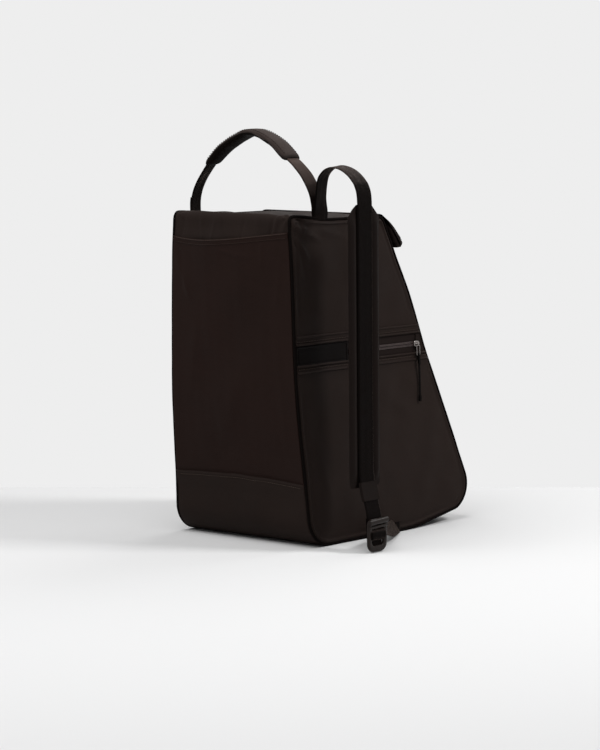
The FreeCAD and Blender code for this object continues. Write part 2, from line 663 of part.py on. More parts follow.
def handle_arch(thickness, width):
    """Ribbon along the handle's arch."""
    shoulder = HANDLE_FOOT_X - HANDLE_SHOULDER_IN
    rise = HANDLE_PEAK - HANDLE_SHOULDER
    leg_angle = math.atan2(TOP_Z + HANDLE_SHOULDER - HANDLE_AXIS_Z, -HANDLE_SHOULDER_IN)
    run_angle = math.atan2(rise, -shoulder)
    shoulder_reach = HANDLE_SHOULDER_R * math.tan((run_angle - leg_angle) / 2)
    top_reach = math.hypot(shoulder, rise) - shoulder_reach - HANDLE_STRAIGHT
    top_radius = top_reach / math.tan(math.atan2(rise, shoulder))
    path = [
        (HANDLE_FOOT_X, HANDLE_AXIS_Z, 0),
        (shoulder, TOP_Z + HANDLE_SHOULDER, HANDLE_SHOULDER_R),
        (0.0, TOP_Z + HANDLE_PEAK, top_radius),
        (-shoulder, TOP_Z + HANDLE_SHOULDER, HANDLE_SHOULDER_R),
        (-HANDLE_FOOT_X, HANDLE_AXIS_Z, 0),
    ]
    return front_prism(ribbon_outline(path, thickness), HANDLE_Y - width / 2, HANDLE_Y + width / 2)


def carry_handle():
    """Webbing arch with rounded feet, padded grip round its middle, and a sewn anchor at each foot."""
    half = HANDLE_WEB_THICK / 2
    webbing = handle_arch(HANDLE_WEB_THICK, HANDLE_WEB_WIDTH)
    for x in (HANDLE_FOOT_X, -HANDLE_FOOT_X):
        webbing = webbing.fuse(foot_disc(x - half, x + half))
    grip = handle_arch(GRIP_THICK, GRIP_WIDTH)
    grip = grip.common(block(GRIP_SHIFT - GRIP_HALF_LENGTH, GRIP_SHIFT + GRIP_HALF_LENGTH,
                             -FAR, FAR, TOP_Z, 2 * FAR))
    grip = grip.cut(handle_arch(HANDLE_WEB_THICK + FIT, HANDLE_WEB_WIDTH + FIT))
    parts = {"handle_webbing": webbing.removeSplitter(), "handle_grip": grip}
    for name, side in (("plain_side", PLAIN_SIDE), ("strap_side", STRAP_SIDE)):
        near = side * (HANDLE_FOOT_X + half + MOVING_GAP)
        x0, x1 = sorted((near, near + side * ANCHOR_THICK))
        stub = block(x0, x1, HANDLE_Y - HANDLE_WEB_WIDTH / 2, HANDLE_Y + HANDLE_WEB_WIDTH / 2,
                     TOP_Z, HANDLE_AXIS_Z)
        parts[f"handle_anchor_{name}"] = stub.fuse(foot_disc(x0, x1)).removeSplitter()
    return parts


# ---- shoulder strap ------------------------------------------------------------------------------
STRAP_FOOT_X = -(TOP_WIDTH / 2 + STRAP_EDGE_OUT)
STRAP_FOOT_Z = TOP_Z + STRAP_FOOT_LIFT
STRAP_OUT_X = STRAP_FOOT_X - STRAP_STAND_OFF
PAD_LOW_X = STRAP_OUT_X - STRAP_LEAN
BUCKLE_X = PAD_LOW_X - BUCKLE_KICK
BUCKLE_TOP_Z = BUCKLE_FLOOR_GAP + BUCKLE_HEIGHT
LOWER_FOOT_X = -(half_width(LOWER_ANCHOR_Z) + ANCHOR_THICK + LOWER_WEB_THICK / 2 + MOVING_GAP)


def strap_webbing():
    """Webbing from the top edge, over its arch, down the pad and round the buckle's middle bar."""
    inside = BUCKLE_X + BUCKLE_THICK / 2 + STRAP_WEB_THICK / 2 + FIT
    outside = BUCKLE_X - BUCKLE_THICK / 2 - STRAP_WEB_THICK / 2 - FIT
    middle = BUCKLE_FLOOR_GAP + BUCKLE_HEIGHT / 2
    wrap = BUCKLE_BAR / 2 + 0.75 * STRAP_WEB_THICK
    cross = wrap + 1.5 * BUCKLE_THICK
    path = [
        (STRAP_FOOT_X, STRAP_FOOT_Z, 0),
        (STRAP_FOOT_X - STRAP_EDGE_OUT, TOP_Z + STRAP_RISE, STRAP_IN_R),
        (STRAP_OUT_X, TOP_Z + STRAP_RISE, STRAP_OUT_R),
        (PAD_LOW_X, PAD_BOTTOM_Z, STRAP_KICK_R),
        (inside, BUCKLE_TOP_Z + BUCKLE_BAR, STRAP_KICK_R / 3),
        (inside, middle + cross, STRAP_TURN_R),
        (outside, middle + wrap, STRAP_TURN_R),
        (outside, middle - wrap, STRAP_TURN_R),
        (inside, middle - cross, 0),
    ]
    half = STRAP_WEB_WIDTH / 2
    return front_prism(ribbon_outline(path, STRAP_WEB_THICK), STRAP_Y - half, STRAP_Y + half)


def strap_pad():
    """Long pad on the strap's inner face, tapered at its top."""
    run_x, run_z, _ = unit((STRAP_OUT_X, TOP_Z + STRAP_RISE), (PAD_LOW_X, PAD_BOTTOM_Z))
    slope = run_x / run_z

    def strap_x(z):
        return PAD_LOW_X + (z - PAD_BOTTOM_Z) * slope
    face = STRAP_WEB_THICK / 2 + FIT / 2
    side = []
    for z in (PAD_BOTTOM_Z, PAD_TOP_Z):
        ends = [(strap_x(z) + face, z, 0), (strap_x(z) + face + PAD_THICK, z, 0)]
        side += ends if z == PAD_BOTTOM_Z else ends[::-1]
    half, neck = PAD_WIDTH / 2, STRAP_WEB_WIDTH / 2
    outline = [
        (STRAP_Y - half, PAD_BOTTOM_Z, PAD_END_R),
        (STRAP_Y + half, PAD_BOTTOM_Z, PAD_END_R),
        (STRAP_Y + half, PAD_TOP_Z - PAD_TAPER, PAD_END_R),
        (STRAP_Y + neck, PAD_TOP_Z, 0),
        (STRAP_Y - neck, PAD_TOP_Z, 0),
        (STRAP_Y - half, PAD_TOP_Z - PAD_TAPER, PAD_END_R),
    ]
    return front_prism(side, -FAR, FAR).common(side_prism(outline))


def strap_buckle():
    """Adjuster buckle: a rounded frame with three bars and two slots, standing on its lower end."""
    x0 = BUCKLE_X - BUCKLE_THICK / 2
    low, high = BUCKLE_FLOOR_GAP, BUCKLE_TOP_Z
    near, far = STRAP_Y - BUCKLE_WIDTH / 2, STRAP_Y + BUCKLE_WIDTH / 2
    frame = side_prism([(near, low, BUCKLE_CORNER_R), (far, low, BUCKLE_CORNER_R),
                        (far, high, BUCKLE_CORNER_R / 2), (near, high, BUCKLE_CORNER_R / 2)],
                       x0, x0 + BUCKLE_THICK)
    rail = (BUCKLE_WIDTH - STRAP_WEB_WIDTH) / 2 - MOVING_GAP
    middle = (low + high) / 2
    spans = ((low + BUCKLE_BAR, middle - BUCKLE_BAR / 2), (middle + BUCKLE_BAR / 2, high - BUCKLE_BAR))
    for z0, z1 in spans:
        frame = frame.cut(block(x0 - 1, x0 + BUCKLE_THICK + 1, near + rail, far - rail, z0, z1))
    return frame


def lower_webbing():
    """Short webbing from the buckle to the base seam, turning from flat to upright on its way."""
    start = V(BUCKLE_X + BUCKLE_THICK / 2 + STRAP_WEB_THICK + 2 * FIT, STRAP_Y, BUCKLE_FLOOR_GAP + BUCKLE_BAR
              + 3 * LOWER_WEB_THICK)
    end = V(LOWER_FOOT_X, LOWER_ANCHOR_Y, LOWER_ANCHOR_Z)
    run = (end - start).normalize()
    end = end - run * LOWER_WEB_CLEAR
    level = V(0, 0, 1).cross(run).normalize()
    start.x += abs(level.x) * LOWER_WEB_WIDTH / 2
    sections = []
    steps = 6
    for i in range(steps + 1):
        share = i / steps
        angle = math.pi / 2 * share
        wide = (level * math.cos(angle) + V(0, 0, 1) * math.sin(angle)) * (LOWER_WEB_WIDTH / 2)
        thick = (V(0, 0, 1) * math.cos(angle) - level * math.sin(angle)) * (LOWER_WEB_THICK / 2)
        centre = start + (end - start) * share
        loop = [centre + wide + thick, centre - wide + thick, centre - wide - thick, centre + wide - thick]
        sections.append(Part.makePolygon(loop + loop[:1]))
    return Part.makeLoft(sections, True, True)


def strap_anchors():
    """Webbing ends sewn to the strap side's panel: one at the top edge, one near the base seam."""
    half = STRAP_WEB_WIDTH / 2
    top = side_plate(STRAP_SIDE, STRAP_Y - half, STRAP_Y + half, TOP_Z - STRAP_ANCHOR_LENGTH,
                     STRAP_FOOT_Z - MOVING_GAP, 0, -2 * STRAP_EDGE_OUT)
    low = side_plate(STRAP_SIDE, LOWER_ANCHOR_Y - LOWER_ANCHOR_LENGTH, LOWER_ANCHOR_Y + LOWER_WEB_THICK,
                     LOWER_ANCHOR_Z - LOWER_WEB_WIDTH / 2, LOWER_ANCHOR_Z + LOWER_WEB_WIDTH / 2, 0, -ANCHOR_THICK)
    return {"strap_top_anchor": top, "strap_lower_anchor": low}


PARTS = {}
PARTS.update(shell_panels())
PARTS.update(padding_and_lining())
PARTS.update(side_walls())
PARTS["strap_side_seam_binding"] = seam_binding(STRAP_SIDE, POCKET_ROOM)
PARTS["plain_side_seam_binding"] = seam_binding(PLAIN_SIDE, BINDING_WIDTH)
PARTS["strap_side_piping"] = piping(STRAP_SIDE)
PARTS["plain_side_piping"] = piping(PLAIN_SIDE)
PARTS["back_slip_pocket"] = slip_pocket()
PARTS["slip_pocket_hem"] = slip_hem(PARTS["back_slip_pocket"])
PARTS.update(side_pocket_zip())
PARTS.update(side_zip_runner())
PARTS.update(front_panels())
PARTS.update(front_door())
PARTS.update(front_zip_runners())
PARTS["top_flap"] = top_flap()
PARTS.update(carry_handle())
PARTS["strap_webbing"] = strap_webbing()
PARTS["strap_pad"] = strap_pad()
PARTS["strap_buckle"] = strap_buckle()
PARTS["strap_lower_webbing"] = lower_webbing()
PARTS.update(strap_anchors())

os.makedirs("parts", exist_ok=True)
for name, shape in PARTS.items():
    solids = shape.Solids
    print(f"{name:28s} solids {len(solids)} valid {shape.isValid()} volume {shape.Volume / 1000:.1f} cm3")
    (solids[0] if len(solids) == 1 else shape).exportStep(f"parts/{name}.step")
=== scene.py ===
"""Wedge-shaped boot bag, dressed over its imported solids: sewn cloth, padding, webbing, zips and a buckle.

Frame: +Z up, +Y towards the flat back, -Y towards the sloping door, -X towards the shoulder strap.
Shapes are worked out in millimetres and turned into metres when a mesh is made.
"""

import logging
import math
from dataclasses import dataclass
from enum import Enum
from typing import Sequence

import bmesh
import bpy
import numpy as np
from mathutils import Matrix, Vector


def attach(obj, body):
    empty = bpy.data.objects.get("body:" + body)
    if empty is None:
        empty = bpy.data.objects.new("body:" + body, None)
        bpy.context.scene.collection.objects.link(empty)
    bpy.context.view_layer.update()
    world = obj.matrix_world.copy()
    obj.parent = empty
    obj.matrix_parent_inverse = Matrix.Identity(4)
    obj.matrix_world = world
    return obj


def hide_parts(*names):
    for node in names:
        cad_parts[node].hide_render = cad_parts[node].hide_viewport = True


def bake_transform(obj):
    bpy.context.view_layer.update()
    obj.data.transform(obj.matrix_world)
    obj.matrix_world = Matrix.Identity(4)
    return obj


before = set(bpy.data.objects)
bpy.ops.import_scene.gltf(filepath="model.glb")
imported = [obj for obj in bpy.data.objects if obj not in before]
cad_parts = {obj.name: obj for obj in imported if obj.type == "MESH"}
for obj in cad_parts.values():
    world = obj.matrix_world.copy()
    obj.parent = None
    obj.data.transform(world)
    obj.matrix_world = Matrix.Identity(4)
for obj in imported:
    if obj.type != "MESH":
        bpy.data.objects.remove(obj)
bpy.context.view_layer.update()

Array = np.ndarray
Number = float | np.ndarray
Table = Sequence[Sequence[float]]
MM = 0.001
MERGE = 2e-6  # points nearer than this, in metres, are one
SHARP = math.radians(42.0)  # an edge turned by more is drawn sharp
WITHIN = np.array([0.0, 60.0, 200.0])  # a point inside the bag, which its cloth faces away from
X_WAY, Y_WAY, Z_WAY = np.eye(3)
log = logging.getLogger("boot bag")


class Side(Enum):
    """The two leaning side faces, by the sign of their x."""

    STRAP = -1
    PLAIN = 1


# ---- numbers ---------------------------------------------------------------------------------------
def smooth(value: Number, low: float, high: float) -> Number:
    """Smooth step: 0 below low, 1 above high, 3t^2 - 2t^3 between them."""
    t = np.clip((value - low) / (high - low), 0.0, 1.0)
    return t * t * (3.0 - 2.0 * t)


def bump(value: Number, middle: float, width: float) -> Number:
    """Bell curve exp(-((value - middle) / width)^2)."""
    return np.exp(-(((value - middle) / width) ** 2))


def fading(value: Number, reach: float) -> Number:
    """Exponential exp(-value / reach), which is 1 wherever value is below 0."""
    return np.exp(-np.maximum(value, 0) / reach)


def units(vectors: Array) -> Array:
    """Vectors scaled to length 1 along the last axis."""
    return vectors / np.maximum(np.linalg.norm(vectors, axis=-1, keepdims=True), 1e-12)


def together(*parts: Number) -> Array:
    """Points from their coordinates, each a number or an array, spread to one size."""
    return np.stack(np.broadcast_arrays(*parts), axis=-1)


def dense_in_ends(count: int) -> Array:
    """Numbers from -1 to 1, closer together near both: the sine of an even run."""
    return np.sin(np.linspace(-math.pi / 2, math.pi / 2, count))


def lattice(first: float, last: float, rows: int, columns: int) -> tuple[Array, Array]:
    """Grid of a distance, from first to last down its rows, and of the share across, from -1 to 1."""
    return np.meshgrid(np.linspace(first, last, rows), np.linspace(-1, 1, columns), indexing="ij")


def distances(line: Array) -> Array:
    """Distance of each point of a polyline from its start."""
    return np.concatenate([[0.0], np.cumsum(np.linalg.norm(np.diff(line, axis=0), axis=1))])


def resample(line: Array, step: float) -> Array:
    """Points at even distances along a polyline, about a step apart, with both ends kept."""
    along = distances(line)
    stops = np.linspace(0.0, along[-1], max(3, int(round(along[-1] / step)) + 1))
    return np.stack([np.interp(stops, along, part) for part in line.T], axis=1)


def rounded(corners: Table, closed: bool, step: float) -> Array:
    """Polyline through corners, each rounded by the arc that touches both of its runs.

    Args:
        corners: rows of (a, b, radius).
        closed: whether the last corner joins the first.
        step: rough distance between points.

    Returns:
        Rows of (a, b). A closed line repeats its first point at the end.
    """
    table = np.array(corners, float)
    count = len(table)
    runs = []
    for i, (a, b, radius) in enumerate(table):
        corner = np.array([a, b])
        if radius == 0 or (not closed and i in (0, count - 1)):
            runs.append(corner[None])
            continue
        before = units(table[i - 1, :2] - corner)
        after = units(table[(i + 1) % count, :2] - corner)
        half = math.acos(float(np.clip(before @ after, -1, 1))) / 2
        centre = corner + units(before + after) * radius / math.sin(half)
        first = corner + before * radius / math.tan(half) - centre
        last = corner + after * radius / math.tan(half) - centre
        turn = math.pi - 2 * half
        share = np.linspace(0, 1, max(4, int(radius * turn / step) + 2))[:, None]
        runs.append(centre + (first * np.sin((1 - share) * turn) + last * np.sin(share * turn)) / math.sin(turn))
    return resample(np.vstack(runs + ([runs[0][:1]] if closed else [])), step)


def flowing(stops: Table, step: float) -> Array:
    """Smooth line through all its stops: each run is the Catmull-Rom cubic of the four stops round it."""
    table = np.array(stops, float)
    padded = np.vstack([2 * table[0] - table[1], table, 2 * table[-1] - table[-2]])
    u = np.linspace(0, len(table) - 1, 40 * (len(table) - 1) + 1)
    i = np.minimum(u.astype(int), len(table) - 2)
    t = (u - i)[:, None]
    p0, p1, p2, p3 = (padded[i + k] for k in range(4))
    cubic = (3 * p1 - p0 - 3 * p2 + p3) * t**3
    return resample(0.5 * (2 * p1 + (p2 - p0) * t + (2 * p0 - 5 * p1 + 4 * p2 - p3) * t**2 + cubic), step)


@dataclass(frozen=True)
class Ripple:
    """Uneven cloth: the sum of a few plane waves, whose directions and phases a seed draws."""

    height: float
    length: float
    seed: int
    waves: int = 6

    def over(self, a: Array, b: Array) -> Array:
        """Height of the waves at the points (a, b)."""
        draw = np.random.default_rng(self.seed)
        angles, phases = draw.uniform(0, math.pi, self.waves), draw.uniform(0, 2 * math.pi, self.waves)
        total = np.zeros(np.broadcast(a, b).shape)
        for angle, phase, stretch in zip(angles, phases, draw.uniform(0.6, 1.7, self.waves)):
            run = (a * math.cos(angle) + b * math.sin(angle)) * 2 * math.pi / (self.length * stretch)
            total += np.sin(run + phase)
        return total * self.height / math.sqrt(self.waves)


def folds(table: Table, a: Array, b: Array) -> Array:
    """Height of soft creases: each a bell across its run, steeper on one side, that fades at its ends.

    Args:
        table: rows of a crease's start (a, b), its end (a, b), its width and its height.
        a: first coordinate of the points.
        b: second coordinate of the points.

    Returns:
        The sum of the creases at the points.
    """
    total = 0.0
    for a0, b0, a1, b1, width, height in table:
        length = math.hypot(a1 - a0, b1 - b0)
        way_a, way_b = (a1 - a0) / length, (b1 - b0) / length
        along = ((a - a0) * way_a + (b - b0) * way_b) / length
        across = ((b - b0) * way_a - (a - a0) * way_b) / width
        fade = smooth(along, -0.15, 0.25) * (1 - smooth(along, 0.7, 1.15))
        total = total + height * fade * np.exp(-across**2) * (1 + 0.7 * np.tanh(2 * across))
    return total


# ---- meshes ----------------------------------------------------------------------------------------
@dataclass
class Patch:
    """A grid of points, rows by columns, that may close on itself either way, and its flat cut if it has one."""

    points: Array
    close_rows: bool = False
    close_columns: bool = False
    cloth: Array | None = None

    def quads(self) -> tuple[Array, Array]:
        """Corner numbers of the grid's quads.

        Returns:
            The corners into the points, and the same corners into the texture grid, which doesn't close.
        """
        rows, columns = self.points.shape[:2]
        i, j = np.meshgrid(np.arange(rows - (not self.close_rows)), np.arange(columns - (not self.close_columns)),
                           indexing="ij")
        around = ((0, 0), (1, 0), (1, 1), (0, 1))
        into = [((i + di) % rows) * columns + (j + dj) % columns for di, dj in around]
        flat = [(i + di) * (columns + 1) + j + dj for di, dj in around]
        return np.stack(into, axis=-1).reshape(-1, 4), np.stack(flat, axis=-1).reshape(-1, 4)

    def texture(self) -> Array:
        """Place of each point on the flat cloth, in metres: its flat cut, or mean distances along the grid."""
        grid = self.points if self.cloth is None else self.cloth
        ring = np.concatenate([grid, grid[:1] if self.close_rows else 2 * grid[-1:] - grid[-2:-1]])
        ring = np.concatenate([ring, ring[:, :1] if self.close_columns else 2 * ring[:, -1:] - ring[:, -2:-1]], axis=1)
        if self.cloth is None:
            gaps = [np.linalg.norm(np.diff(ring, axis=k), axis=2).mean(axis=1 - k) for k in (1, 0)]
            ring = np.stack(np.meshgrid(*(np.concatenate([[0.0], np.cumsum(gap)]) for gap in gaps)), axis=-1)
        return ring.reshape(-1, 2) * MM


@dataclass(frozen=True)
class Place:
    """What a piece is to the frame: the body that it rides on, its slot, its finish and the node it stands for."""

    body: str
    slot: str
    finish: "Finish"
    node: str = ""


def linked(name: str, data: bpy.types.ID) -> bpy.types.Object:
    """A new object in the scene, for a mesh, a lamp or a camera."""
    made = bpy.data.objects.new(name, data)
    bpy.context.scene.collection.objects.link(made)
    return made


def shape(name: str, patches: Sequence[Patch], place: Place, thick: float = 0.0) -> bpy.types.Object:
    """Makes one piece from grids of points, ties it to its body, and hides the imported solid of its node.

    Args:
        name: the piece's name.
        patches: its grids, in millimetres: closed ones, or open cloth.
        place: its body, slot, finish and node.
        thick: thickness of open cloth, which faces away from the bag's inside and grows inwards.

    Returns:
        The finished object.
    """
    points, quads, corners, start = [], [], [], 0
    for patch in patches:
        into, flat = patch.quads()
        points.append(patch.points.reshape(-1, 3))
        quads.append(into + start)
        corners.append(patch.texture()[flat.reshape(-1)])
        start += len(points[-1])
    verts, faces, uv = np.vstack(points), np.vstack(quads), np.vstack(corners)
    if thick:
        four = verts[faces]
        facing = np.cross(four[:, 2] - four[:, 0], four[:, 3] - four[:, 1])
        if float(((four.mean(axis=1) - WITHIN) * facing).sum()) < 0:
            faces = faces[:, ::-1]
            uv = uv.reshape(-1, 4, 2)[:, ::-1].reshape(-1, 2)
    mesh = bpy.data.meshes.new(name)
    mesh.from_pydata((verts * MM).tolist(), [], faces.tolist())
    mesh.uv_layers.new(name="cloth").data.foreach_set("uv", np.ascontiguousarray(uv, dtype=np.float32).ravel())
    work = bmesh.new()
    work.from_mesh(mesh)
    bmesh.ops.remove_doubles(work, verts=work.verts, dist=MERGE)
    if not thick:
        bmesh.ops.recalc_face_normals(work, faces=work.faces)
    work.to_mesh(mesh)
    work.free()
    mesh.shade_smooth()
    mesh.set_sharp_from_angle(angle=SHARP)
    mesh.materials.append(place.finish.material())
    piece = linked(name, mesh)
    if thick:
        wall = piece.modifiers.new("cloth thickness", "SOLIDIFY")
        wall.thickness, wall.offset = thick * MM, -1.0
    if place.body:
        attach(piece, place.body)
    if place.node:
        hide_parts(place.node)
    log.info("%s: %d faces", name, len(mesh.polygons))
    return piece


def sweep(line: Array, across: Array, section: Array, closed: bool = False) -> Array:
    """Carries a section along a line: point + a * across + b * out, with out = tangent x across.

    Args:
        line: points of the line, one per row.
        across: the way of the section's first number, for the whole line or per point.
        section: (a, b) of the section's points, one ring for all, or a ring per point.
        closed: whether the line closes on itself.

    Returns:
        Grid of points, one ring per point of the line.
    """
    tangent = units(np.roll(line, -1, axis=0) - np.roll(line, 1, axis=0) if closed else np.gradient(line, axis=0))
    wide = np.broadcast_to(across, line.shape)
    out = units(np.cross(tangent, wide))
    wide = np.cross(out, tangent)
    ring = np.broadcast_to(section, (len(line),) + section.shape[-2:])
    return line[:, None] + ring[..., :1] * wide[:, None] + ring[..., 1:] * out[:, None]


def hoop(line: Array, across: Array, section: Array) -> Patch:
    """A section carried round a closed line."""
    return Patch(sweep(line, across, section, closed=True), True, True)


def capped(grid: Array) -> Patch:
    """Closes a grid of rings by one more ring at each end, shrunk to its middle."""
    ends = [np.broadcast_to(ring.mean(axis=0), ring.shape)[None] for ring in (grid[0], grid[-1])]
    return Patch(np.concatenate([ends[0], grid, ends[1]]), close_columns=True)


def bar_section(width: float, thick: float, corner: float, steps: int = 3) -> Array:
    """Ring of a rounded rectangle: a quarter circle at each corner."""
    turn = np.linspace(0, math.pi / 2, steps + 1)
    quarter = [together(np.cos(turn + k * math.pi / 2), np.sin(turn + k * math.pi / 2)) for k in range(4)]
    middles = [(1, 1), (-1, 1), (-1, -1), (1, -1)]
    reach = np.array([width / 2 - corner, thick / 2 - corner])
    return np.vstack([np.array(m) * reach + q * corner for m, q in zip(middles, quarter)])


def soft_section(width: Number, thick: Number, square: float, count: int = 28) -> Array:
    """Rings of superellipses: a = w/2 |cos|^(2/n), b = t/2 |sin|^(2/n), each with its sign.

    Args:
        width: full width, one number for all rings or one per ring.
        thick: full thickness, likewise.
        square: n, 2 for an ellipse and more for squarer rings.
        count: points in a ring.

    Returns:
        Rings of (a, b).
    """
    turn = np.linspace(0, 2 * math.pi, count, endpoint=False)
    a, b = (np.sign(wave) * np.abs(wave) ** (2 / square) for wave in (np.cos(turn), np.sin(turn)))
    return together(np.atleast_1d(width)[:, None] / 2 * a, np.atleast_1d(thick)[:, None] / 2 * b)


# ---- finishes --------------------------------------------------------------------------------------
def linear(code: str) -> tuple[float, float, float, float]:
    """Linear colour of an sRGB hex code."""
    parts = [int(code[k:k + 2], 16) / 255 for k in (1, 3, 5)]
    red, green, blue = (c / 12.92 if c <= 0.04045 else ((c + 0.055) / 1.055) ** 2.4 for c in parts)
    return red, green, blue, 1.0


def add(tree: bpy.types.NodeTree, kind: str, inputs: dict | None = None, **settings: str | bool) -> bpy.types.Node:
    """Adds a node to a tree.

    Args:
        tree: the material's or world's node tree.
        kind: the node's type, without its first word.
        inputs: what each input takes, by name or number: a value, an output, or a node for its first output.
        settings: properties of the node.

    Returns:
        The node.
    """
    node = tree.nodes.new(f"ShaderNode{kind}")
    for key, value in settings.items():
        setattr(node, key, value)
    for key, value in (inputs or {}).items():
        if isinstance(value, bpy.types.Node):
            value = value.outputs[0]
        if isinstance(value, bpy.types.NodeSocket):
            tree.links.new(value, node.inputs[key])
        else:
            node.inputs[key].default_value = value
    return node


@dataclass(frozen=True)
class Finish:
    """What every finish shares: its name, its two tones, and how its surface throws light back."""

    name: str
    dark: str
    light: str
    rough: float = 0.6
    gloss: float = 0.25
    relief: float = 0.10  # depth of its pattern, in millimetres
    metallic: float = 0.0
    painted_top_light: str = ""  # its colour where it faces up, as painted light from above, if it has it
    top_light_from: float = 0.08  # the upward part of its facing at which the painted top light starts
    broad_scale: float = 35.0  # how many slow changes of tone there are to a metre
    broad_detail: float = 2.0

    def material(self) -> bpy.types.Material:
        """The finish's material, made the first time that it is asked for."""
        found = bpy.data.materials.get(self.name)
        if found:
            return found
        made = bpy.data.materials.new(self.name)
        made.use_nodes = True
        tree = made.node_tree
        tree.nodes.clear()
        shader = add(tree, "BsdfPrincipled",
                     {"Roughness": self.rough, "Specular IOR Level": self.gloss, "Metallic": self.metallic})
        add(tree, "OutputMaterial", {"Surface": shader})
        self.tone(tree, shader, self.height(tree, shader))
        return made

    def height(self, tree: bpy.types.NodeTree, shader: bpy.types.Node) -> bpy.types.Node:
        """Height of the pattern, from 0 to 1. On a moulded, cut or cast surface: fine grain by the object's place."""
        place = add(tree, "TexCoord").outputs["Object"]
        return add(tree, "TexNoise", {"Vector": place, "Scale": 900.0, "Detail": 3.0})

    def tone(self, tree: bpy.types.NodeTree, shader: bpy.types.Node, height: bpy.types.Node) -> None:
        """Ends every pattern: the two tones by its height and by broad noise, the painted light on up-facing parts, and
        the relief.

        Args:
            tree: the material's node tree.
            shader: its shader node.
            height: the pattern's height.
        """
        place = add(tree, "TexCoord")
        broad = add(tree, "TexNoise", {"Vector": place.outputs["Object"], "Scale": self.broad_scale,
                                       "Detail": self.broad_detail})
        both = add(tree, "Math", {0: height, 1: 0.55, 2: broad}, operation="MULTIPLY_ADD", use_clamp=True)
        colour = add(tree, "Mix", {0: both, 6: linear(self.dark), 7: linear(self.light)}, data_type="RGBA").outputs[2]
        # Painted light: where the surface faces up, its colour is mixed towards a lighter one that stands in for light
        # from above.
        if self.painted_top_light:
            facing = add(tree, "SeparateXYZ", {0: place.outputs["Normal"]}).outputs[2]
            upward = add(tree, "MapRange", {0: facing, 1: self.top_light_from, 2: self.top_light_from + 0.77})
            colour = add(tree, "Mix", {0: upward, 6: colour, 7: linear(self.painted_top_light)}, data_type="RGBA").outputs[2]
        tree.links.new(colour, shader.inputs["Base Color"])
        worn = add(tree, "MapRange", {0: broad, 1: 0.3, 2: 0.7, 3: max(self.rough - 0.06, 0.05),
                                      4: min(self.rough + 0.06, 1.0)})
        tree.links.new(worn.outputs[0], shader.inputs["Roughness"])
        raised = add(tree, "Bump", {"Height": height, "Distance": self.relief * MM, "Strength": 1.0})
        tree.links.new(raised.outputs[0], shader.inputs["Normal"])


@dataclass(frozen=True)
class Woven(Finish):
    """Plain-woven cloth: its threads go over and under each other, and a thicker thread shows here and there."""

    broad_scale: float = 14.0
    broad_detail: float = 3.0
    thread: float = 0.9  # spacing of the threads, in millimetres

    def height(self, tree: bpy.types.NodeTree, shader: bpy.types.Node) -> bpy.types.Node:
        """sin(u) sin(v) over the thread spacing, with streaks of noise drawn out along both threads."""
        flat = add(tree, "UVMap", uv_map="cloth")
        axes = add(tree, "SeparateXYZ", {0: flat}).outputs
        spacing = self.thread * MM
        runs = [add(tree, "Math", {0: axis, 1: math.pi / spacing}, operation="MULTIPLY") for axis in axes[:2]]
        waves = [add(tree, "Math", {0: run}, operation="SINE") for run in runs]
        crossed = add(tree, "Math", {0: waves[0], 1: waves[1]}, operation="MULTIPLY")
        weave = add(tree, "Math", {0: crossed, 1: 0.5, 2: 0.5}, operation="MULTIPLY_ADD")
        drawn = [add(tree, "Mapping", {"Vector": flat, "Scale": scale})
                 for scale in ((1.0, 0.03, 1.0), (0.03, 1.0, 1.0))]
        streaks = [add(tree, "TexNoise", {"Vector": way, "Scale": 0.45 / spacing, "Detail": 2.0}) for way in drawn]
        slub = add(tree, "Math", {0: streaks[0], 1: streaks[1]}, operation="ADD")
        height = add(tree, "Math", {0: slub, 1: 0.35, 2: weave}, operation="MULTIPLY_ADD")
        return add(tree, "Math", {0: height, 1: 0.7}, operation="MULTIPLY")


@dataclass(frozen=True)
class Ribbed(Finish):
    """Heavy narrow webbing: rows of thick yarn in a herringbone, which speckles where it catches the light."""

    broad_scale: float = 60.0
    yarn: float = 1.6  # spacing of the yarns, in millimetres
    sheen: float = 0.3
    fibre: str = "#CDB5A8"  # colour of the loose fibres, seen at a grazing angle

    def height(self, tree: bpy.types.NodeTree, shader: bpy.types.Node) -> bpy.types.Node:
        """|sin| of u plus a zigzag of v, cut by a sine along the webbing, and roughened by noise."""
        shader.inputs["Sheen Weight"].default_value = self.sheen
        shader.inputs["Sheen Roughness"].default_value = 0.2
        shader.inputs["Sheen Tint"].default_value = linear(self.fibre)
        flat = add(tree, "UVMap", uv_map="cloth")
        axes = add(tree, "SeparateXYZ", {0: flat}).outputs
        spacing = self.yarn * MM
        zigzag = add(tree, "Math", {0: axes[0], 1: 4 * spacing}, operation="PINGPONG")
        slant = add(tree, "Math", {0: axes[1], 1: zigzag}, operation="ADD")
        run = add(tree, "Math", {0: slant, 1: math.pi / spacing}, operation="MULTIPLY")
        rib = add(tree, "Math", {0: add(tree, "Math", {0: run}, operation="SINE")}, operation="ABSOLUTE")
        line = add(tree, "Math", {0: axes[0], 1: 2 * math.pi / (0.8 * spacing)}, operation="MULTIPLY")
        cross = add(tree, "Math", {0: line}, operation="SINE")
        cut = add(tree, "Math", {0: cross, 1: 0.18, 2: rib}, operation="MULTIPLY_ADD")
        fuzz = add(tree, "TexNoise", {"Vector": flat, "Scale": 1.2 / spacing, "Detail": 4.0})
        return add(tree, "Math", {0: cut, 1: fuzz}, operation="MULTIPLY")


# Plain-woven nylon, about 400 denier, dyed warm black, a polyurethane skin behind it: smooth and matt, and a
# little lighter where it turns away. Its real threads are 0.4 mm apart, too fine to show, so they are drawn wider.
SHELL = Woven("shell nylon, warm black", "#191311", "#241C19", rough=0.7, gloss=0.05, relief=0.07)
# The slip pocket's lighter nylon of the same dye, a shade redder, pulled smooth.
POCKET = Woven("pocket nylon, brown black", "#180F0C", "#211613", rough=0.68, gloss=0.05, relief=0.06, thread=0.8)
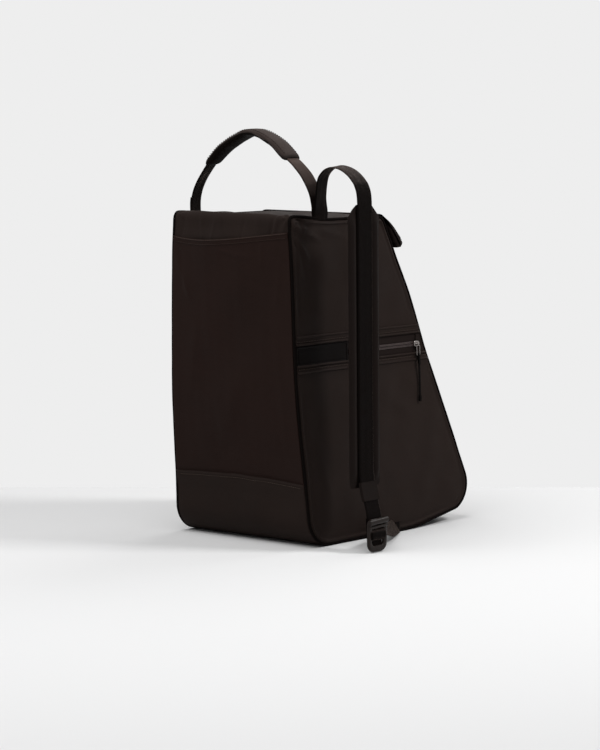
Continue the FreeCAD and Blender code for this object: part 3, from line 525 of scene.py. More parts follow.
# Polyester taffeta lining: thin, fine and slightly glossy.
TAFFETA = Woven("lining taffeta, grey", "#3C3836", "#54504D", rough=0.5, gloss=0.35, relief=0.04, thread=0.7)
# Nylon of the strap pad, darker than the shell; on the flap this darker nylon is painted shade, as the flap lies in
# shade over the slope.
PAD_CLOTH = Woven("pad nylon, black", "#100C0B", "#181210", rough=0.7, gloss=0.04, relief=0.06, thread=0.8)
# Bias-cut nylon over cord, and the same strip as a seam binding: tight, so smoother. It is near black, darker than the
# panels: on the piping this is painted shade of the grooves beside the cord.
BIAS = Woven("bias strip, black", "#080605", "#0E0A09", rough=0.8, gloss=0.02, relief=0.05, thread=0.7)
# Narrow-woven polyester tape of the zips.
TAPE = Woven("zip tape, black", "#15100E", "#1E1715", rough=0.7, gloss=0.04, relief=0.09, thread=1.0)
# Nylon webbing in a herringbone, whose yarn catches the light as small specks, with painted light on its up-facing
# parts such as the strap's arch.
WEBBING = Ribbed("nylon webbing, black", "#040202", "#0B0706", gloss=0.02, relief=0.35, painted_top_light="#3C3330", top_light_from=0.5)
# The carry handle's webbing, a shade lighter, with stronger painted light from above on its up-facing parts.
HANDLE_WEBBING = Ribbed("nylon webbing, brown black", "#060403", "#120D0B", gloss=0.02, relief=0.35, painted_top_light="#463B37",
                        sheen=0.12)
# The same nylon webbing, woven narrow and thin for the zip pulls.
WEBBING_FINE = Ribbed("pull webbing, black", "#050404", "#0C0908", gloss=0.02, relief=0.15, yarn=1.0, sheen=0.05)
# The carry handle's grip sleeve, in a coarser nylon: dark, with painted light from above where it faces up.
GRIP_CLOTH = Woven("grip nylon, brown black", "#070504", "#140F0D", rough=0.7, gloss=0.04, relief=0.12, thread=1.4,
                   painted_top_light="#352D2A")
# Bonded nylon sewing thread.
THREAD = Finish("bonded thread, brown black", "#2E2521", "#43372F", rough=0.5, gloss=0.2, relief=0.02)
# Acetal: moulded, waxy and fairly glossy, for the buckle.
ACETAL = Finish("acetal, black", "#130D0B", "#1D1613", rough=0.34, gloss=0.12, relief=0.02)
# Acetal zip teeth, as moulded on their tape: duller than the buckle.
TEETH = Finish("zip teeth acetal, brown black", "#2A201F", "#403230", rough=0.4, gloss=0.4, relief=0.02)
# Soft PVC, moulded in a satin tool.
RUBBER = Finish("soft rubber, black", "#070404", "#0C0807", rough=0.55, gloss=0.03, relief=0.03)
# Black nickel plated on a zinc casting: dark, cool and mirror-like, softened by handling. It keeps the default IOR.
NICKEL = Finish("black nickel", "#6E6967", "#938D8A", rough=0.24, gloss=0.5, relief=0.01, metallic=1.0)
# Closed-cell polyethylene foam, cut, with its cells open on the cut faces.
FOAM = Finish("polyethylene foam, grey", "#4A4A4A", "#666564", rough=0.85, gloss=0.2, relief=0.25)
# Pressed polypropylene board: pale, hard and lightly pebbled.
BOARD = Finish("polypropylene board, grey", "#5A5856", "#6E6B68", rough=0.55, gloss=0.4, relief=0.08)


# ---- repeated small shapes -------------------------------------------------------------------------
@dataclass
class Repeat(Patch):
    """One small grid set down many times, each time at a place with three axes of its own."""

    frames: Array | None = None

    def __post_init__(self) -> None:
        """Keeps the small grid, and works out all its copies as one array."""
        self.small = Patch(self.points, self.close_rows, self.close_columns)
        turned = np.einsum("rcj,kjx->krcx", self.points, self.frames[:, 1:]) + self.frames[:, None, None, 0]
        self.points = turned.reshape(-1, turned.shape[2], 3)

    def quads(self) -> tuple[Array, Array]:
        """Corner numbers of every copy's quads, into the points and into the texture points."""
        rows, columns = self.small.points.shape[:2]
        copy = np.arange(len(self.frames))[:, None, None]
        into, flat = self.small.quads()
        return (into + copy * rows * columns).reshape(-1, 4), (flat + copy * (rows + 1) * (columns + 1)).reshape(-1, 4)

    def texture(self) -> Array:
        """The small grid's texture, once for every copy."""
        return np.tile(self.small.texture(), (len(self.frames), 1))


def frames_along(line: Array, out: Array, pitch: float, shift: float = 0.0) -> Array:
    """Places at even distances along a line.

    Args:
        line: points of the line.
        out: the way out of the surface at each of them.
        pitch: distance between places.
        shift: how far the first place is from the line's start.

    Returns:
        For each place: its point, the way along the line, the way across it, and the way out.
    """
    ahead_by = 0.4
    along = distances(line)
    stops = np.arange(shift + pitch / 2, along[-1] - pitch / 2, pitch)
    both = np.concatenate([line, np.broadcast_to(out, line.shape)], axis=1)
    at, ahead = (np.stack([np.interp(stops + d, along, part) for part in both.T], axis=1) for d in (0.0, ahead_by))
    way = units(ahead[:, :3] - at[:, :3])
    across = units(np.cross(at[:, 3:], way))
    return np.stack([at[:, :3], way, across, np.cross(way, across)], axis=1)


def stitches(line: Array, out: Array, pitch: float = 3.4, length: float = 2.5, radius: float = 0.3) -> Repeat:
    """Row of lockstitches along a line: short closed rods that dip into the cloth at both ends.

    Args:
        line: points of the line, on the cloth.
        out: the way out of the cloth.
        pitch: distance between stitches.
        length: length of a stitch.
        radius: half the thickness of the thread.

    Returns:
        The row of stitches.
    """
    turn = np.linspace(0, 2 * math.pi, 6, endpoint=False)
    along, size, rise = (np.array(part)[:, None] for part in (
        (-0.5, -0.36, 0.36, 0.5), (0.0, 1.0, 1.0, 0.0), (-0.6, 0.15, 0.15, -0.6)))
    rod = together(along * length, size * radius * np.cos(turn), radius * (size * np.sin(turn) + rise))
    return Repeat(rod, close_columns=True, frames=frames_along(line, out, pitch))


def zip_teeth(line: Array, out: Array, inner: float, reach: float, shift: float) -> Repeat:
    """Row of moulded teeth beside a zip's middle line: small blocks, chamfered on top, with a narrow head.

    Args:
        line: the middle of the zip.
        out: the way out of the tape.
        inner: distance from the middle to the teeth, on the side of the sign of reach.
        reach: how far a tooth reaches from there.
        shift: how far along the line the row starts.

    Returns:
        The row of teeth.
    """
    tall, pitch = 2.0, 2.6
    a = math.copysign(inner, reach)
    b = a + reach
    ring = np.array([[a, 0.0], [b, 0.0], [b, tall * 0.7], [(a + b) / 2, tall], [a, tall * 0.85]])
    along = np.array([-0.27, -0.27, 0.27, 0.27]) * pitch
    tooth = together(along[:, None], ring[:, 0], ring[:, 1])
    tooth[[0, 3], :, 1:] = ring.mean(axis=0)
    return Repeat(tooth, close_columns=True, frames=frames_along(line, out, pitch, shift))


# ---- the bag's body --------------------------------------------------------------------------------
class Outline:
    """Closed side outline of the bag in (y, z), counter-clockwise, read by the distance along it."""

    def __init__(self, corners: Table) -> None:
        """Rounds the corners and keeps points, outward normals and distances."""
        line = rounded(corners, True, 1.0)
        self.points = line[:-1]
        self.length = float(distances(line)[-1])
        self.s = np.arange(len(self.points)) * self.length / len(self.points)
        tangent = units(np.roll(self.points, -1, axis=0) - np.roll(self.points, 1, axis=0))
        self.normals = together(tangent[:, 1], -tangent[:, 0])

    def at(self, s: Array, depth: Number = 0.0) -> tuple[Array, Array, Array, Array]:
        """Point and outward normal at a distance along, moved inwards by depth: y, z, normal y, normal z."""
        ny, nz, y, z = (np.interp(s, self.s, part, period=self.length) for part in (*self.normals.T, *self.points.T))
        return y - ny * depth, z - nz * depth, ny, nz

    def near(self, y: float, z: float) -> float:
        """Distance along the outline of its point nearest to (y, z)."""
        return float(self.s[np.argmin(np.hypot(self.points[:, 0] - y, self.points[:, 1] - z))])

    def depth(self, y: Array, z: Array) -> Array:
        """How deep points lie inside: the distance to the tangent line at the outline's nearest point."""
        normals, points = self.normals[::4], self.points[::4]
        flat = together(np.ravel(y), np.ravel(z))
        nearest = ((points**2).sum(axis=1)[None] - 2 * flat @ points.T).argmin(axis=1)
        return ((points[nearest] - flat) * normals[nearest]).sum(axis=1).reshape(np.shape(y))

    def span(self, z: Array, depth: float) -> tuple[Array, Array]:
        """Lowest and highest y of the outline, moved inwards by depth, at height z."""
        moved = self.points - self.normals * depth
        ends = []
        for sign in (-1, 1):
            branch = moved[self.normals[:, 0] * sign > 1e-6]
            branch = branch[np.argsort(branch[:, 1])]
            ends.append(np.interp(z, branch[:, 1], branch[:, 0]))
        return ends[0], ends[1]


@dataclass
class Body:
    """Sizes of the sewn body, and the surfaces that every cloth piece on it is cut from."""

    height: float = 449.0
    base_width: float = 248.0
    top_width: float = 210.5
    top_front_y: float = 11.0
    top_back_y: float = 214.0
    base_back_y: float = 188.0
    base_front_y: float = -40.0  # where the base starts to rise towards the toe
    toe_y: float = -186.0
    toe_z: float = 24.0
    pipe: float = 3.0
    cloth: float = 2.5
    top_back_r: float = 9.0
    top_front_r: float = 16.0
    back_corner_r: float = 45.0
    base_rise_r: float = 320.0
    back_bend: tuple[float, float, float] = (209.0, 190.0, 900.0)
    toe_r: float = 37.0
    zip_z: float = 264.0
    belly: float = 3.4
    rise: float = 7.0

    def __post_init__(self) -> None:
        """Works out the outline, with the slope's belly in it, and the direction of the slope."""
        self.slope = units(np.array([self.top_front_y - self.toe_y, self.height - self.toe_z]))
        self.slope_way = np.array([0.0, -self.slope[1], self.slope[0]])
        self.up_slope = np.array([0.0, self.slope[0], self.slope[1]])
        bellied = self.on_slope(0.0, np.linspace(24.0, 230.0, 24), 0.0)
        self.outline = Outline([
            (self.base_front_y, 0.0, self.base_rise_r), (self.base_back_y, 0.0, self.back_corner_r), self.back_bend,
            (self.top_back_y, self.height, self.top_back_r), (self.top_front_y, self.height, self.top_front_r),
            *((y, z, 0.0) for _, y, z in bellied), (self.toe_y, self.toe_z, self.toe_r)])
        self.lean = (self.base_width - self.top_width) / 2 / self.height

    def half_width(self, z: Number) -> Number:
        """Half the body's width at height z."""
        return self.base_width / 2 - self.lean * z

    def on_slope(self, x: Number, u: Number, n: Number) -> Array:
        """Points u down the slope from the top front edge and n out from its face, which bellies out below the flap."""
        n = n + self.belly * smooth(u, 60, 125) * (1 - smooth(u, 130, 235))
        y = self.top_front_y - u * self.slope[0] - n * self.slope[1]
        z = self.height - u * self.slope[1] + n * self.slope[0]
        return together(x, y, z)

    def slope_half_width(self, u: Number) -> Number:
        """Half the body's width at u down the slope."""
        return self.half_width(self.height - u * self.slope[1])

    def slope_s(self, u: float) -> float:
        """Distance along the outline of the place u down the slope."""
        return self.outline.near(self.top_front_y - u * self.slope[0], self.height - u * self.slope[1])

    def back_s(self, z: float) -> float:
        """Distance along the outline of the back at height z."""
        return self.outline.near(float(self.outline.span(np.array([z]), 0.0)[1][0]), z)

    def sway(self, points: Array) -> Array:
        """Slow sway of the cloth: a sine of height, nothing at the floor and at the side zip, and a raised back edge.

        Above the zip both sides swell. Below it the strap side swells and the plain side hollows.

        Args:
            points: points of the body.

        Returns:
            The points, moved along x and, at the top of the back, along z.
        """
        x, y, z = np.moveaxis(points, -1, 0)
        wave = np.sin(math.pi * z / self.zip_z) * smooth(z, 0, 60) * (1 - smooth(z, 405, 455))
        swell = np.where(z > self.zip_z, -1.5, np.where(x < 0, 1.4, -2.0))
        raised = self.rise * smooth(z, 428, 449) * smooth(y, 120, 205)
        return together(x + swell * wave * np.clip(x / 100, -1, 1), y, z + raised)

    def band(self, s: Array, share: Array, lift: Number, edges: tuple[float, float] | None = None) -> Patch:
        """Strip of cloth round the bag.

        Args:
            s: distance along the outline, rows by columns.
            share: place across, from -1 at the strap side to 1 at the plain side.
            lift: height off the outline.
            edges: how far it stops from the strap side's face and from the plain side's; at the piping if left out.

        Returns:
            The strip, with its cloth's threads running straight along and across.
        """
        first, last = edges or (self.pipe, self.pipe)
        y, z, _, _ = self.outline.at(s, -lift)
        half = self.half_width(z)
        x = -(half - first) + (share + 1) / 2 * (2 * half - first - last)
        return Patch(self.sway(together(x, y, z)), cloth=together(x, s))

    def side(self, side: Side, y: Array, z: Array, lift: Number) -> Patch:
        """Cloth over a leaning side face, at (y, z) and lift off the face."""
        x = side.value * (self.half_width(z) + lift)
        return Patch(self.sway(together(x, y, z + lift * self.lean)), cloth=together(y, z))

    def side_way(self, side: Side) -> Array:
        """The way out of a side face."""
        return units(np.array([side.value, 0.0, self.lean]))

    def side_grid(self, low: float, high: float, depth: float, step: float = 3.2) -> tuple[Array, Array]:
        """Grid over a side face, denser near its two ends.

        Args:
            low: height of its lower end.
            high: height of its upper end.
            depth: how far inside the outline its rows stop.
            step: rough distance between rows.

        Returns:
            y and z of the grid, with rows of even share between the outline's two sides.
        """
        t = np.linspace(0, 1, int((high - low) / step) + 2)
        ends = 0.5 - 0.5 * np.cos(math.pi * t)
        z = low + (high - low) * (0.62 * t + 0.38 * ends)
        first, last = self.outline.span(z, depth)
        y = first[:, None] + (last - first)[:, None] * np.linspace(0, 1, 96)
        return y, np.broadcast_to(z[:, None], y.shape)


def cut_sheet(name: str, patch: Patch, place: Place, thick: float) -> None:
    """Args:
        name: the piece's name.
        patch: its grid, whose cloth is the flat cut.
        place: its body, slot, finish and node.
        thick: the cloth's thickness.
    """
    piece = shape(name, [patch], place, thick)


@dataclass
class Shell(Body):
    """Outer cloth: base, back and top panels, the two sides, and the piping between them."""

    seam_z: float = 88.0
    seam_rise: float = 5.0
    yoke_z: float = 402.0
    pipe_r: float = 2.0
    door_fold_u: float = 400.4
    front_seam_u: float = 16.0
    yoke_folds: Table = (
        (-94, 6, -74, -34, 4.0, 1.53), (-82, 0, -72, -30, 3.5, -1.17), (-52, 0, -56, -34, 5.0, 0.9),
        (-28, -2, -24, -32, 4.0, -0.81), (12, -4, 6, -32, 5.0, -1.08), (26, -4, 30, -30, 4.0, 0.9),
        (54, 0, 46, -30, 4.0, 1.17), (84, 0, 90, -30, 5.0, -0.9))
    side_folds: Table = (
        (204, 438, 150, 422, 5.0, 2.2), (203, 428, 176, 396, 5.0, 1.6), (196, 420, 184, 372, 4.0, -1.0),
        (150, 436, 96, 424, 6.0, 1.0), (92, 446, 96, 330, 8.0, 0.8), (30, 440, 60, 405, 7.0, 0.8),
        (150, 60, 180, 150, 12.0, 0.8), (-40, 160, 40, 200, 16.0, 0.9), (-140, 60, -60, 40, 12.0, 0.7))
    pinches: Table = ((222, 450, 180, 442, 2.2, -3.2), (214, 440, 168, 434, 2.6, 1.6), (212, 432, 196, 408, 2.6, -1.2))

    def __post_init__(self) -> None:
        """Finds the top corner of the back along the outline."""
        super().__post_init__()
        inset = 0.29 * self.top_back_r
        self.top_corner = self.outline.near(self.top_back_y - inset, self.height - inset)

    def tuck(self, s: Array, share: Array) -> Array:
        """Gathers that radiate from the two back top corners: a cosine of the angle that dies away with distance."""
        total = 0.0
        for sign, height in ((-1, 1.5), (1, 1.0)):
            ds, dx = s - self.top_corner, (1 - sign * share) * self.top_width / 2
            reach = np.hypot(ds, dx)
            total = total + height * np.cos(7 * np.arctan2(ds, dx) + 0.7) * fading(reach, 20) * smooth(reach, 0, 8)
        return total

    def band_lift(self, s: Array, share: Array, puff: float, ripple: Ripple) -> Array:
        """Height of a band panel: it puffs between its seams, pulls in at the piping, and ripples, off the floor."""
        _, z, _, _ = self.outline.at(s)
        edge, x = (1 - np.abs(share)) * self.half_width(z), share * self.half_width(z)
        lift = puff * (1 - fading(edge, 14)) - 0.7 * fading(edge, 2.5)
        return (lift + ripple.over(x, s) * (1 - fading(edge, 10))) * smooth(z, 4, 40)

    def base(self) -> None:
        """Base panel: from the door's fold under the bag and up the back, its top edge folded over the back."""
        first = self.slope_s(self.door_fold_u) - self.outline.length
        share = np.linspace(-1, 1, 90)
        top = self.seam_z + self.seam_rise * (1 - share**2)
        end = np.interp(share, share[::6], [self.back_s(z) for z in top[::6]])
        s, share = np.broadcast_arrays(first + (end - first) * np.linspace(0, 1, 170)[:, None], share)
        to_edge, stitched_at, tucked_by = end - s, 4.6, 2.2
        lift = self.band_lift(s, share, 0.9, Ripple(0.35, 70, 3)) + 1.5 * (1 - smooth(to_edge, 6, 26))
        lift += 0.7 * bump(to_edge, 1.0, 1.3) - 0.5 * bump(to_edge, stitched_at, 1.3)
        patch = self.band(s, share, lift - tucked_by * (1 - smooth(s - first, 0, 6)))
        patch.points[..., 2] = np.maximum(patch.points[..., 2], 0.15)
        row = self.band(end[None, 2:-2] - stitched_at, share[:1, 2:-2], 2.3).points[0]
        thread = shape("base_panel_topstitch", [stitches(row, Y_WAY)], Place("bag", "binding", THREAD))
        cut_sheet("base_panel_cloth", patch, Place("bag", "shell_cloth", SHELL, "base_panel"), self.cloth)

    def back(self) -> None:
        """Back panel behind the slip pocket, from the base seam up under the yoke."""
        s, share = lattice(self.back_s(self.seam_z - 4), self.back_s(self.yoke_z + 12), 96, 70)
        lift = self.band_lift(s, share, -0.4, Ripple(0.25, 80, 5)) - 0.6
        cut_sheet("back_panel_cloth", self.band(s, share, lift),
                  Place("bag", "shell_cloth", SHELL, "back_panel"), self.cloth)

    def top(self) -> None:
        """Top panel: yoke down the back into the pocket, over the rounded edge, and on to the front seam."""
        s, share = lattice(self.back_s(self.yoke_z), self.slope_s(self.front_seam_u), 150, 130)
        y, z, _, _ = self.outline.at(s)
        past, middle = s - self.top_corner, 1 - share**2
        lift = self.band_lift(s, share, 0.8, Ripple(0.6, 40, 11)) + self.tuck(s, share)
        lift += (5.0 * smooth(-past, 4, 26) + 0.4 * smooth(past, 10, 50) * smooth(y, 5, 60)) * middle
        lift += folds(self.yoke_folds, share * self.half_width(z), past) * (1 - np.abs(share) ** 8)
        cut_sheet("top_panel_cloth", self.band(s, share, lift),
                  Place("bag", "shell_cloth", SHELL, "top_panel"), self.cloth)

    def side_lift(self, side: Side, y: Array, z: Array) -> Array:
        """Height of a side panel: puffed between seams, pulled in at the piping, flat by the zip, with folds."""
        depth = self.outline.depth(y, z) - self.pipe
        puff = 2.0 * (1 - fading(depth, 22)) - 0.8 * fading(depth, 3)
        seam = (1.2 + 0.8 * smooth(z, 425, 440)) * bump(depth, 3.4, 1.5) - 0.7 * bump(depth, 7.4, 2.2)
        waves = Ripple(0.7, 95, 21 + side.value).over(y, z) + Ripple(0.22, 34, 31 + side.value).over(y, z)
        ahead, above = y - 190, z - 425
        angle = np.arctan2(above, ahead)
        gather = 1.1 * np.cos(6 * angle + 1.0) * np.exp(-np.abs(np.hypot(ahead, above) - 20) / 14)
        gather = gather * smooth(angle, -0.3, 0.4) + folds(self.pinches, y, z)
        total = puff + seam + (waves + folds(self.side_folds, y, z)) * (1 - fading(depth, 12))
        total = total + gather * smooth(depth, 0, 3)
        return total * smooth(np.abs(z - self.zip_z), 26, 60) + 0.1 if side is Side.STRAP else total

    def sides(self) -> None:
        """Plain side in one piece; strap side above the pocket zip, and the pocket's front below it."""
        low, high, half_band = self.pipe + 0.02, self.height - self.pipe - 0.02, 15
        for name, side, first, last, slot, node, behind in (
                ("plain_side_cloth", Side.PLAIN, low, high, "shell_cloth", "plain_side_panel", "plain_side_lining"),
                ("strap_side_upper_cloth", Side.STRAP, self.zip_z + half_band, high, "shell_cloth",
                 "strap_side_upper_panel", "side_pocket_wall"),
                ("side_pocket_cloth", Side.STRAP, low, self.zip_z - half_band, "pocket_cloth", "side_pocket_front",
                 "side_pocket_wall")):
            y, z = self.side_grid(first, last, self.pipe)
            cut_sheet(name, self.side(side, y, z, self.side_lift(side, y, z)), Place("bag", slot, SHELL, node),
                      self.cloth)

    def piping(self) -> None:
        """Bias strip over a cord, sewn round both side panels: a round bead that wavers slightly."""
        s = np.linspace(0, self.outline.length, 520, endpoint=False)
        for side, node in ((Side.STRAP, "strap_side_piping"), (Side.PLAIN, "plain_side_piping")):
            y, z, _, _ = self.outline.at(s, self.pipe_r - 0.6)
            x = side.value * (self.half_width(z) - 1.2 + Ripple(0.12, 60, 41 + side.value).over(s, 0 * s))
            cord = hoop(self.sway(together(x, y, z)), self.side_way(side),
                        soft_section(2 * self.pipe_r, 2 * self.pipe_r, 2.0, 12))
            cord.points[..., 2] = np.maximum(cord.points[..., 2], 0.05)
            # The cord's near-black finish is painted shade of the grooves on both sides of the piping.
            shape(f"{node}_cord", [cord], Place("bag", "piping", BIAS, node))

    def make(self) -> None:
        """Makes every panel and the piping."""
        self.base()
        self.back()
        self.top()
        self.sides()
        self.piping()


@dataclass
class SlipPocket:
    """Slip pocket over the whole back: its cloth bows out to a slack, sagging mouth with a folded hem."""

    shell: Shell
    low_z: float = 80.0
    mouth_z: float = 420.9
    bow: float = 9.0
    hem: float = 9.0
    creases: Table = (
        (99, 398, 70, 335, 6.0, 1.6), (90, 404, 84, 350, 5.0, -1.0), (-62, 418, -61, 380, 4.0, 0.9),
        (-96, 412, -84, 330, 6.0, 1.0), (20, 408, -40, 398, 5.0, 0.8), (60, 300, 74, 200, 11.0, 0.9),
        (-88, 280, -96, 130, 9.0, 0.9), (30, 140, -20, 250, 18.0, 0.7), (-20, 120, -60, 96, 10.0, 0.7))

    def mouth(self, share: Array) -> Array:
        """Height of the mouth: a cubic of the place across, which sags and is higher at the strap side."""
        return self.mouth_z - 9.4 * share + 5.9 * share**2 + 4.2 * share**3

    def cloth(self, share: Array, z: Array, lift: Number) -> Patch:
        """Grid over the pocket's outer face, lift off it, with its flat cut."""
        body = self.shell
        x = share * (body.half_width(z) - body.pipe)
        up = (z - self.low_z) / (self.mouth_z - self.low_z)
        room = np.clip(1 - share**2, 0, 1)
        above = z - body.seam_z - body.seam_rise * (1 - share**2)
        free = smooth(above, 0, 26)
        bow = (0.9 + 3.0 * smooth(up, 0.03, 0.45) + (self.bow - 3.9) * smooth(up, 0.45, 1.0)) * room**1.25
        bow = bow * free - 0.8 * (1 - smooth(above, -6, 0)) - 1.1 * bump(above, 1.4, 1.8)
        waves = Ripple(0.55, 80, 51).over(x, z) + Ripple(0.2, 30, 52).over(x, z) + folds(self.creases, x, z)
        y = body.outline.span(z, 0.0)[1] + 0.9 + bow + waves * room**0.5 * free + lift
        return Patch(body.sway(together(x, y, z)), cloth=together(share * body.half_width(z), z))

    def make(self) -> None:
        """Makes the pocket's cloth, its hem and the hem's stitching."""
        share = np.linspace(-1, 1, 120)
        z = self.low_z + (self.mouth(share) - self.low_z) * np.linspace(0, 1, 150)[:, None]
        body = self.cloth(np.broadcast_to(share, z.shape), z, 0.0)
        below = np.linspace(self.hem, -0.6, 14)[:, None]
        roll = np.sqrt(np.clip((below + 0.6) / 1.2, 0, 1)) * (1 + 1.1 * bump(below, 0.9, 1.1))
        z = self.mouth(share) - below
        raised = (0.35 + 0.75 * roll) * smooth(self.hem - below, 0, 3.0) - 0.1
        band = self.cloth(np.broadcast_to(share, z.shape), z, raised)
        hem = shape("slip_pocket_hem_tape", [band], Place("bag", "binding", POCKET, "slip_pocket_hem"), 1.6)
        inner = share[2:-2]
        rows = [stitches(self.cloth(inner, self.mouth(inner) - below, 1.3).points, Y_WAY, radius=radius)
                for below, radius in ((0.7, 0.5), (self.hem - 2.6, 0.14))]
        thread = shape("slip_pocket_hem_stitching", rows, Place("bag", "binding", THREAD))
        cut_sheet("slip_pocket_cloth", body, Place("bag", "pocket_cloth", POCKET, "back_slip_pocket"), 1.3)


@dataclass
class Insides:
    """What the shell hides: lining sheets, foam, board and the bound seam allowances."""

    shell: Shell
    lining: float = 0.8
    padding: float = 3.0
    strap_wall: float = 9.5
    plain_wall: float = 5.0
    allowance: float = 9.3

    def linings(self) -> None:
        """Lining round back, base and top, and the two sheets inside the leaning sides."""
        body = self.shell
        s, share = lattice(body.slope_s(412.0) - body.outline.length, body.slope_s(17.6), 190, 60)
        slack = Ripple(0.6, 60, 61).over(share * body.half_width(200.0), s) * (1 - share**6) * 0.5
        lining = body.band(s, share, -(body.cloth + self.padding) - 0.15 - np.abs(slack),
                           (self.strap_wall, self.plain_wall))
        cut_sheet("body_lining_cloth", lining, Place("bag", "lining_cloth", TAFFETA, "body_lining"), self.lining)
        for name, side, wall, node in (("plain_side_lining_cloth", Side.PLAIN, self.plain_wall, "plain_side_lining"),
                                       ("side_pocket_wall_cloth", Side.STRAP, self.strap_wall, "side_pocket_wall")):
            y, z = body.side_grid(body.cloth + 0.3, body.height - body.cloth - 0.3, body.cloth + 0.2, 6.0)
            patch = body.side(side, y, z, -(wall - 1.0) - 0.15 * (1 + Ripple(0.5, 70, 62).over(y, z)))
            cut_sheet(name, patch, Place("bag", "lining_cloth", TAFFETA, node), self.lining)

    def foam(self) -> None:
        """Foam slab behind the back panel."""
        body = self.shell
        s, share = lattice(body.back_s(body.seam_z + 16), body.back_s(body.height - 27), 60, 40)
        sheet = body.band(s, share, -body.cloth - 0.1, (self.strap_wall, self.plain_wall))
        slab = shape("back_foam_slab", [sheet], Place("bag", "foam", FOAM, "back_foam"), self.padding - 0.2)

    def bindings(self) -> None:
        """Tape round the seam allowances inside both sides' edges."""
        body, line = self.shell, self.shell.outline
        s = np.linspace(0, line.length, 260, endpoint=False)
        for side, width, node in ((Side.STRAP, 6.0, "strap_side_seam_binding"),
                                  (Side.PLAIN, 1.5, "plain_side_seam_binding")):
            y, z, _, _ = line.at(s, body.pipe + 4.75)
            x = side.value * (body.half_width(z) - body.cloth - width / 2)
            tape = hoop(together(x, y, z), body.side_way(side), bar_section(width - 0.1, self.allowance, 0.6, 2))
            tape.points = body.sway(tape.points)
            shape(f"{node}_tape", [tape], Place("bag", "binding", BIAS, node))

    def make(self) -> None:
        """Makes the linings, foam and bindings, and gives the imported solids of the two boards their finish."""
        self.linings()
        self.foam()
        self.bindings()
        for node in ("base_board", "top_stiffener"):
            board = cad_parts[node].data
            board.materials.clear()
            board.materials.append(BOARD.material())


# ---- zips ------------------------------------------------------------------------------------------
@dataclass
class Slider:
    """Zip slider with its bail, link and pull, in the slider's own axes: x along the chain, z out of the tape."""

    prefix: str
    origin: Array
    axes: Array
    tab_length: float
    rise: float = 2.3  # how far the bail stands off the top plate
    full_back: bool = True  # whether the plate behind the tape is whole
    length: float = 12.0
    width: float = 8.2
    face: float = 4.0
    link_length: float = 17.0

    def piece(self, name: str, place: Place, patches: Sequence[Patch]) -> None:
        """Makes a piece from patches in the slider's axes, with its names after the slider's own prefix."""
        for patch in patches:
            patch.points = self.origin + patch.points @ self.axes
        body, node = (f"{self.prefix}_{end}" for end in (place.body, place.node))
        shape(f"{self.prefix}_{name}", patches, Place(body, place.slot, place.finish, node))

    def casting(self) -> None:
        """Two plates like flattened shields, the neck between them, and the bail: an arch of wire on the top plate."""
        t = np.linspace(-1, 1, 22)
        wide = self.width * (1 - 0.28 * smooth(t, -0.2, 1.0)) * (1 - np.abs(t) ** 7) ** 0.5
        share, shift = (1.0, 0.0) if self.full_back else (0.5, -self.width / 4)
        parts = []
        for middle, thick, width, aside in ((self.face - 0.8, 1.7, wide, 0.0), (-2.2, 1.5, wide * share, shift)):
            ring = soft_section(np.maximum(width, 0.4), thick * (1 - 0.8 * np.abs(t) ** 9), 3.2, 20)
            parts.append(capped(sweep(together(t * self.length / 2, aside, middle), Y_WAY, ring)))
        neck = resample(np.array([[0, 0, -1.8], [0, 0, self.face - 1.2]], float), 1.0)
        parts.append(capped(sweep(neck, X_WAY, bar_section(3.6, 0.5, 0.2))))
        top, low, mid = self.face + self.rise, self.face - 0.6, self.face + 1.2
        bail = flowing([(-4.3, 0, low), (-3.6, 0, mid), (-2.2, 0, top), (0, 0, top + 0.15), (2.2, 0, top),
                        (3.6, 0, mid), (4.3, 0, low)], 0.5)
        parts.append(capped(sweep(bail, Y_WAY, soft_section(1.44, 1.44, 2.0, 10))))
        self.piece("slider_casting", Place("slider", "slider_metal", NICKEL, "slider"), parts)

    def pull(self) -> None:
        """Link: a wire eye round the bail and a long loop below it. Pull: a strip folded through it, and an end cap."""
        top = self.face + self.rise + 0.15
        low = -self.link_length
        turn = np.linspace(0, 2 * math.pi, 20, endpoint=False)
        eye = together(0.0, 1.5 * np.sin(turn) - 0.5, 1.5 * np.cos(turn) + top - 0.1)
        loop = rounded([(-3.5, -2.6, 2.0), (3.5, -2.6, 2.0), (3.3, low, 1.6), (-3.3, low, 1.6)], True, 0.5)[:-1]
        self.piece("pull_loop", Place("pull", "slider_metal", NICKEL, "pull_link"), [
            hoop(eye, np.array([1.0, 0.0, 0.3]), soft_section(1.24, 1.24, 2.0, 10)),
            hoop(together(loop[:, 0], loop[:, 1], top), Z_WAY, bar_section(1.5, 1.3, 0.45, 2))])
        long = -self.tab_length
        strip = [flowing([(0, low + y, top + z) for y, z in run], step) for run, step in (
            (((2.4, -1.1), (0.2, -1.5), (-6, 0.3), (-20, 1.3), (long + 8, 1.3), (long, 1.4)), 1.0),
            (((2.4, 1.1), (0.2, 1.5), (-6, 1.8), (-13, 2.4)), 1.0),
            (((2.3, -1.2), (3.2, 0), (2.3, 1.2)), 0.5))]
        tab = [capped(sweep(run, X_WAY, bar_section(3.8, 1.1, 0.4, 2))) for run in strip]
        t = np.linspace(0, 1, 12)
        bead = soft_section(4.8 + 0.6 * np.sin(math.pi * t), 2.4 + 0.4 * np.sin(math.pi * t), 3.0, 20)
        tab.append(capped(sweep(together(0.0, low + long + 7 - 8.5 * t, top + 1.4), X_WAY, bead)))
        self.piece("pull_strip", Place("pull", "pull_tab", WEBBING_FINE, "pull_tab"), tab)

    def make(self) -> None:
        """Makes the slider and its pull."""
        self.casting()
        self.pull()


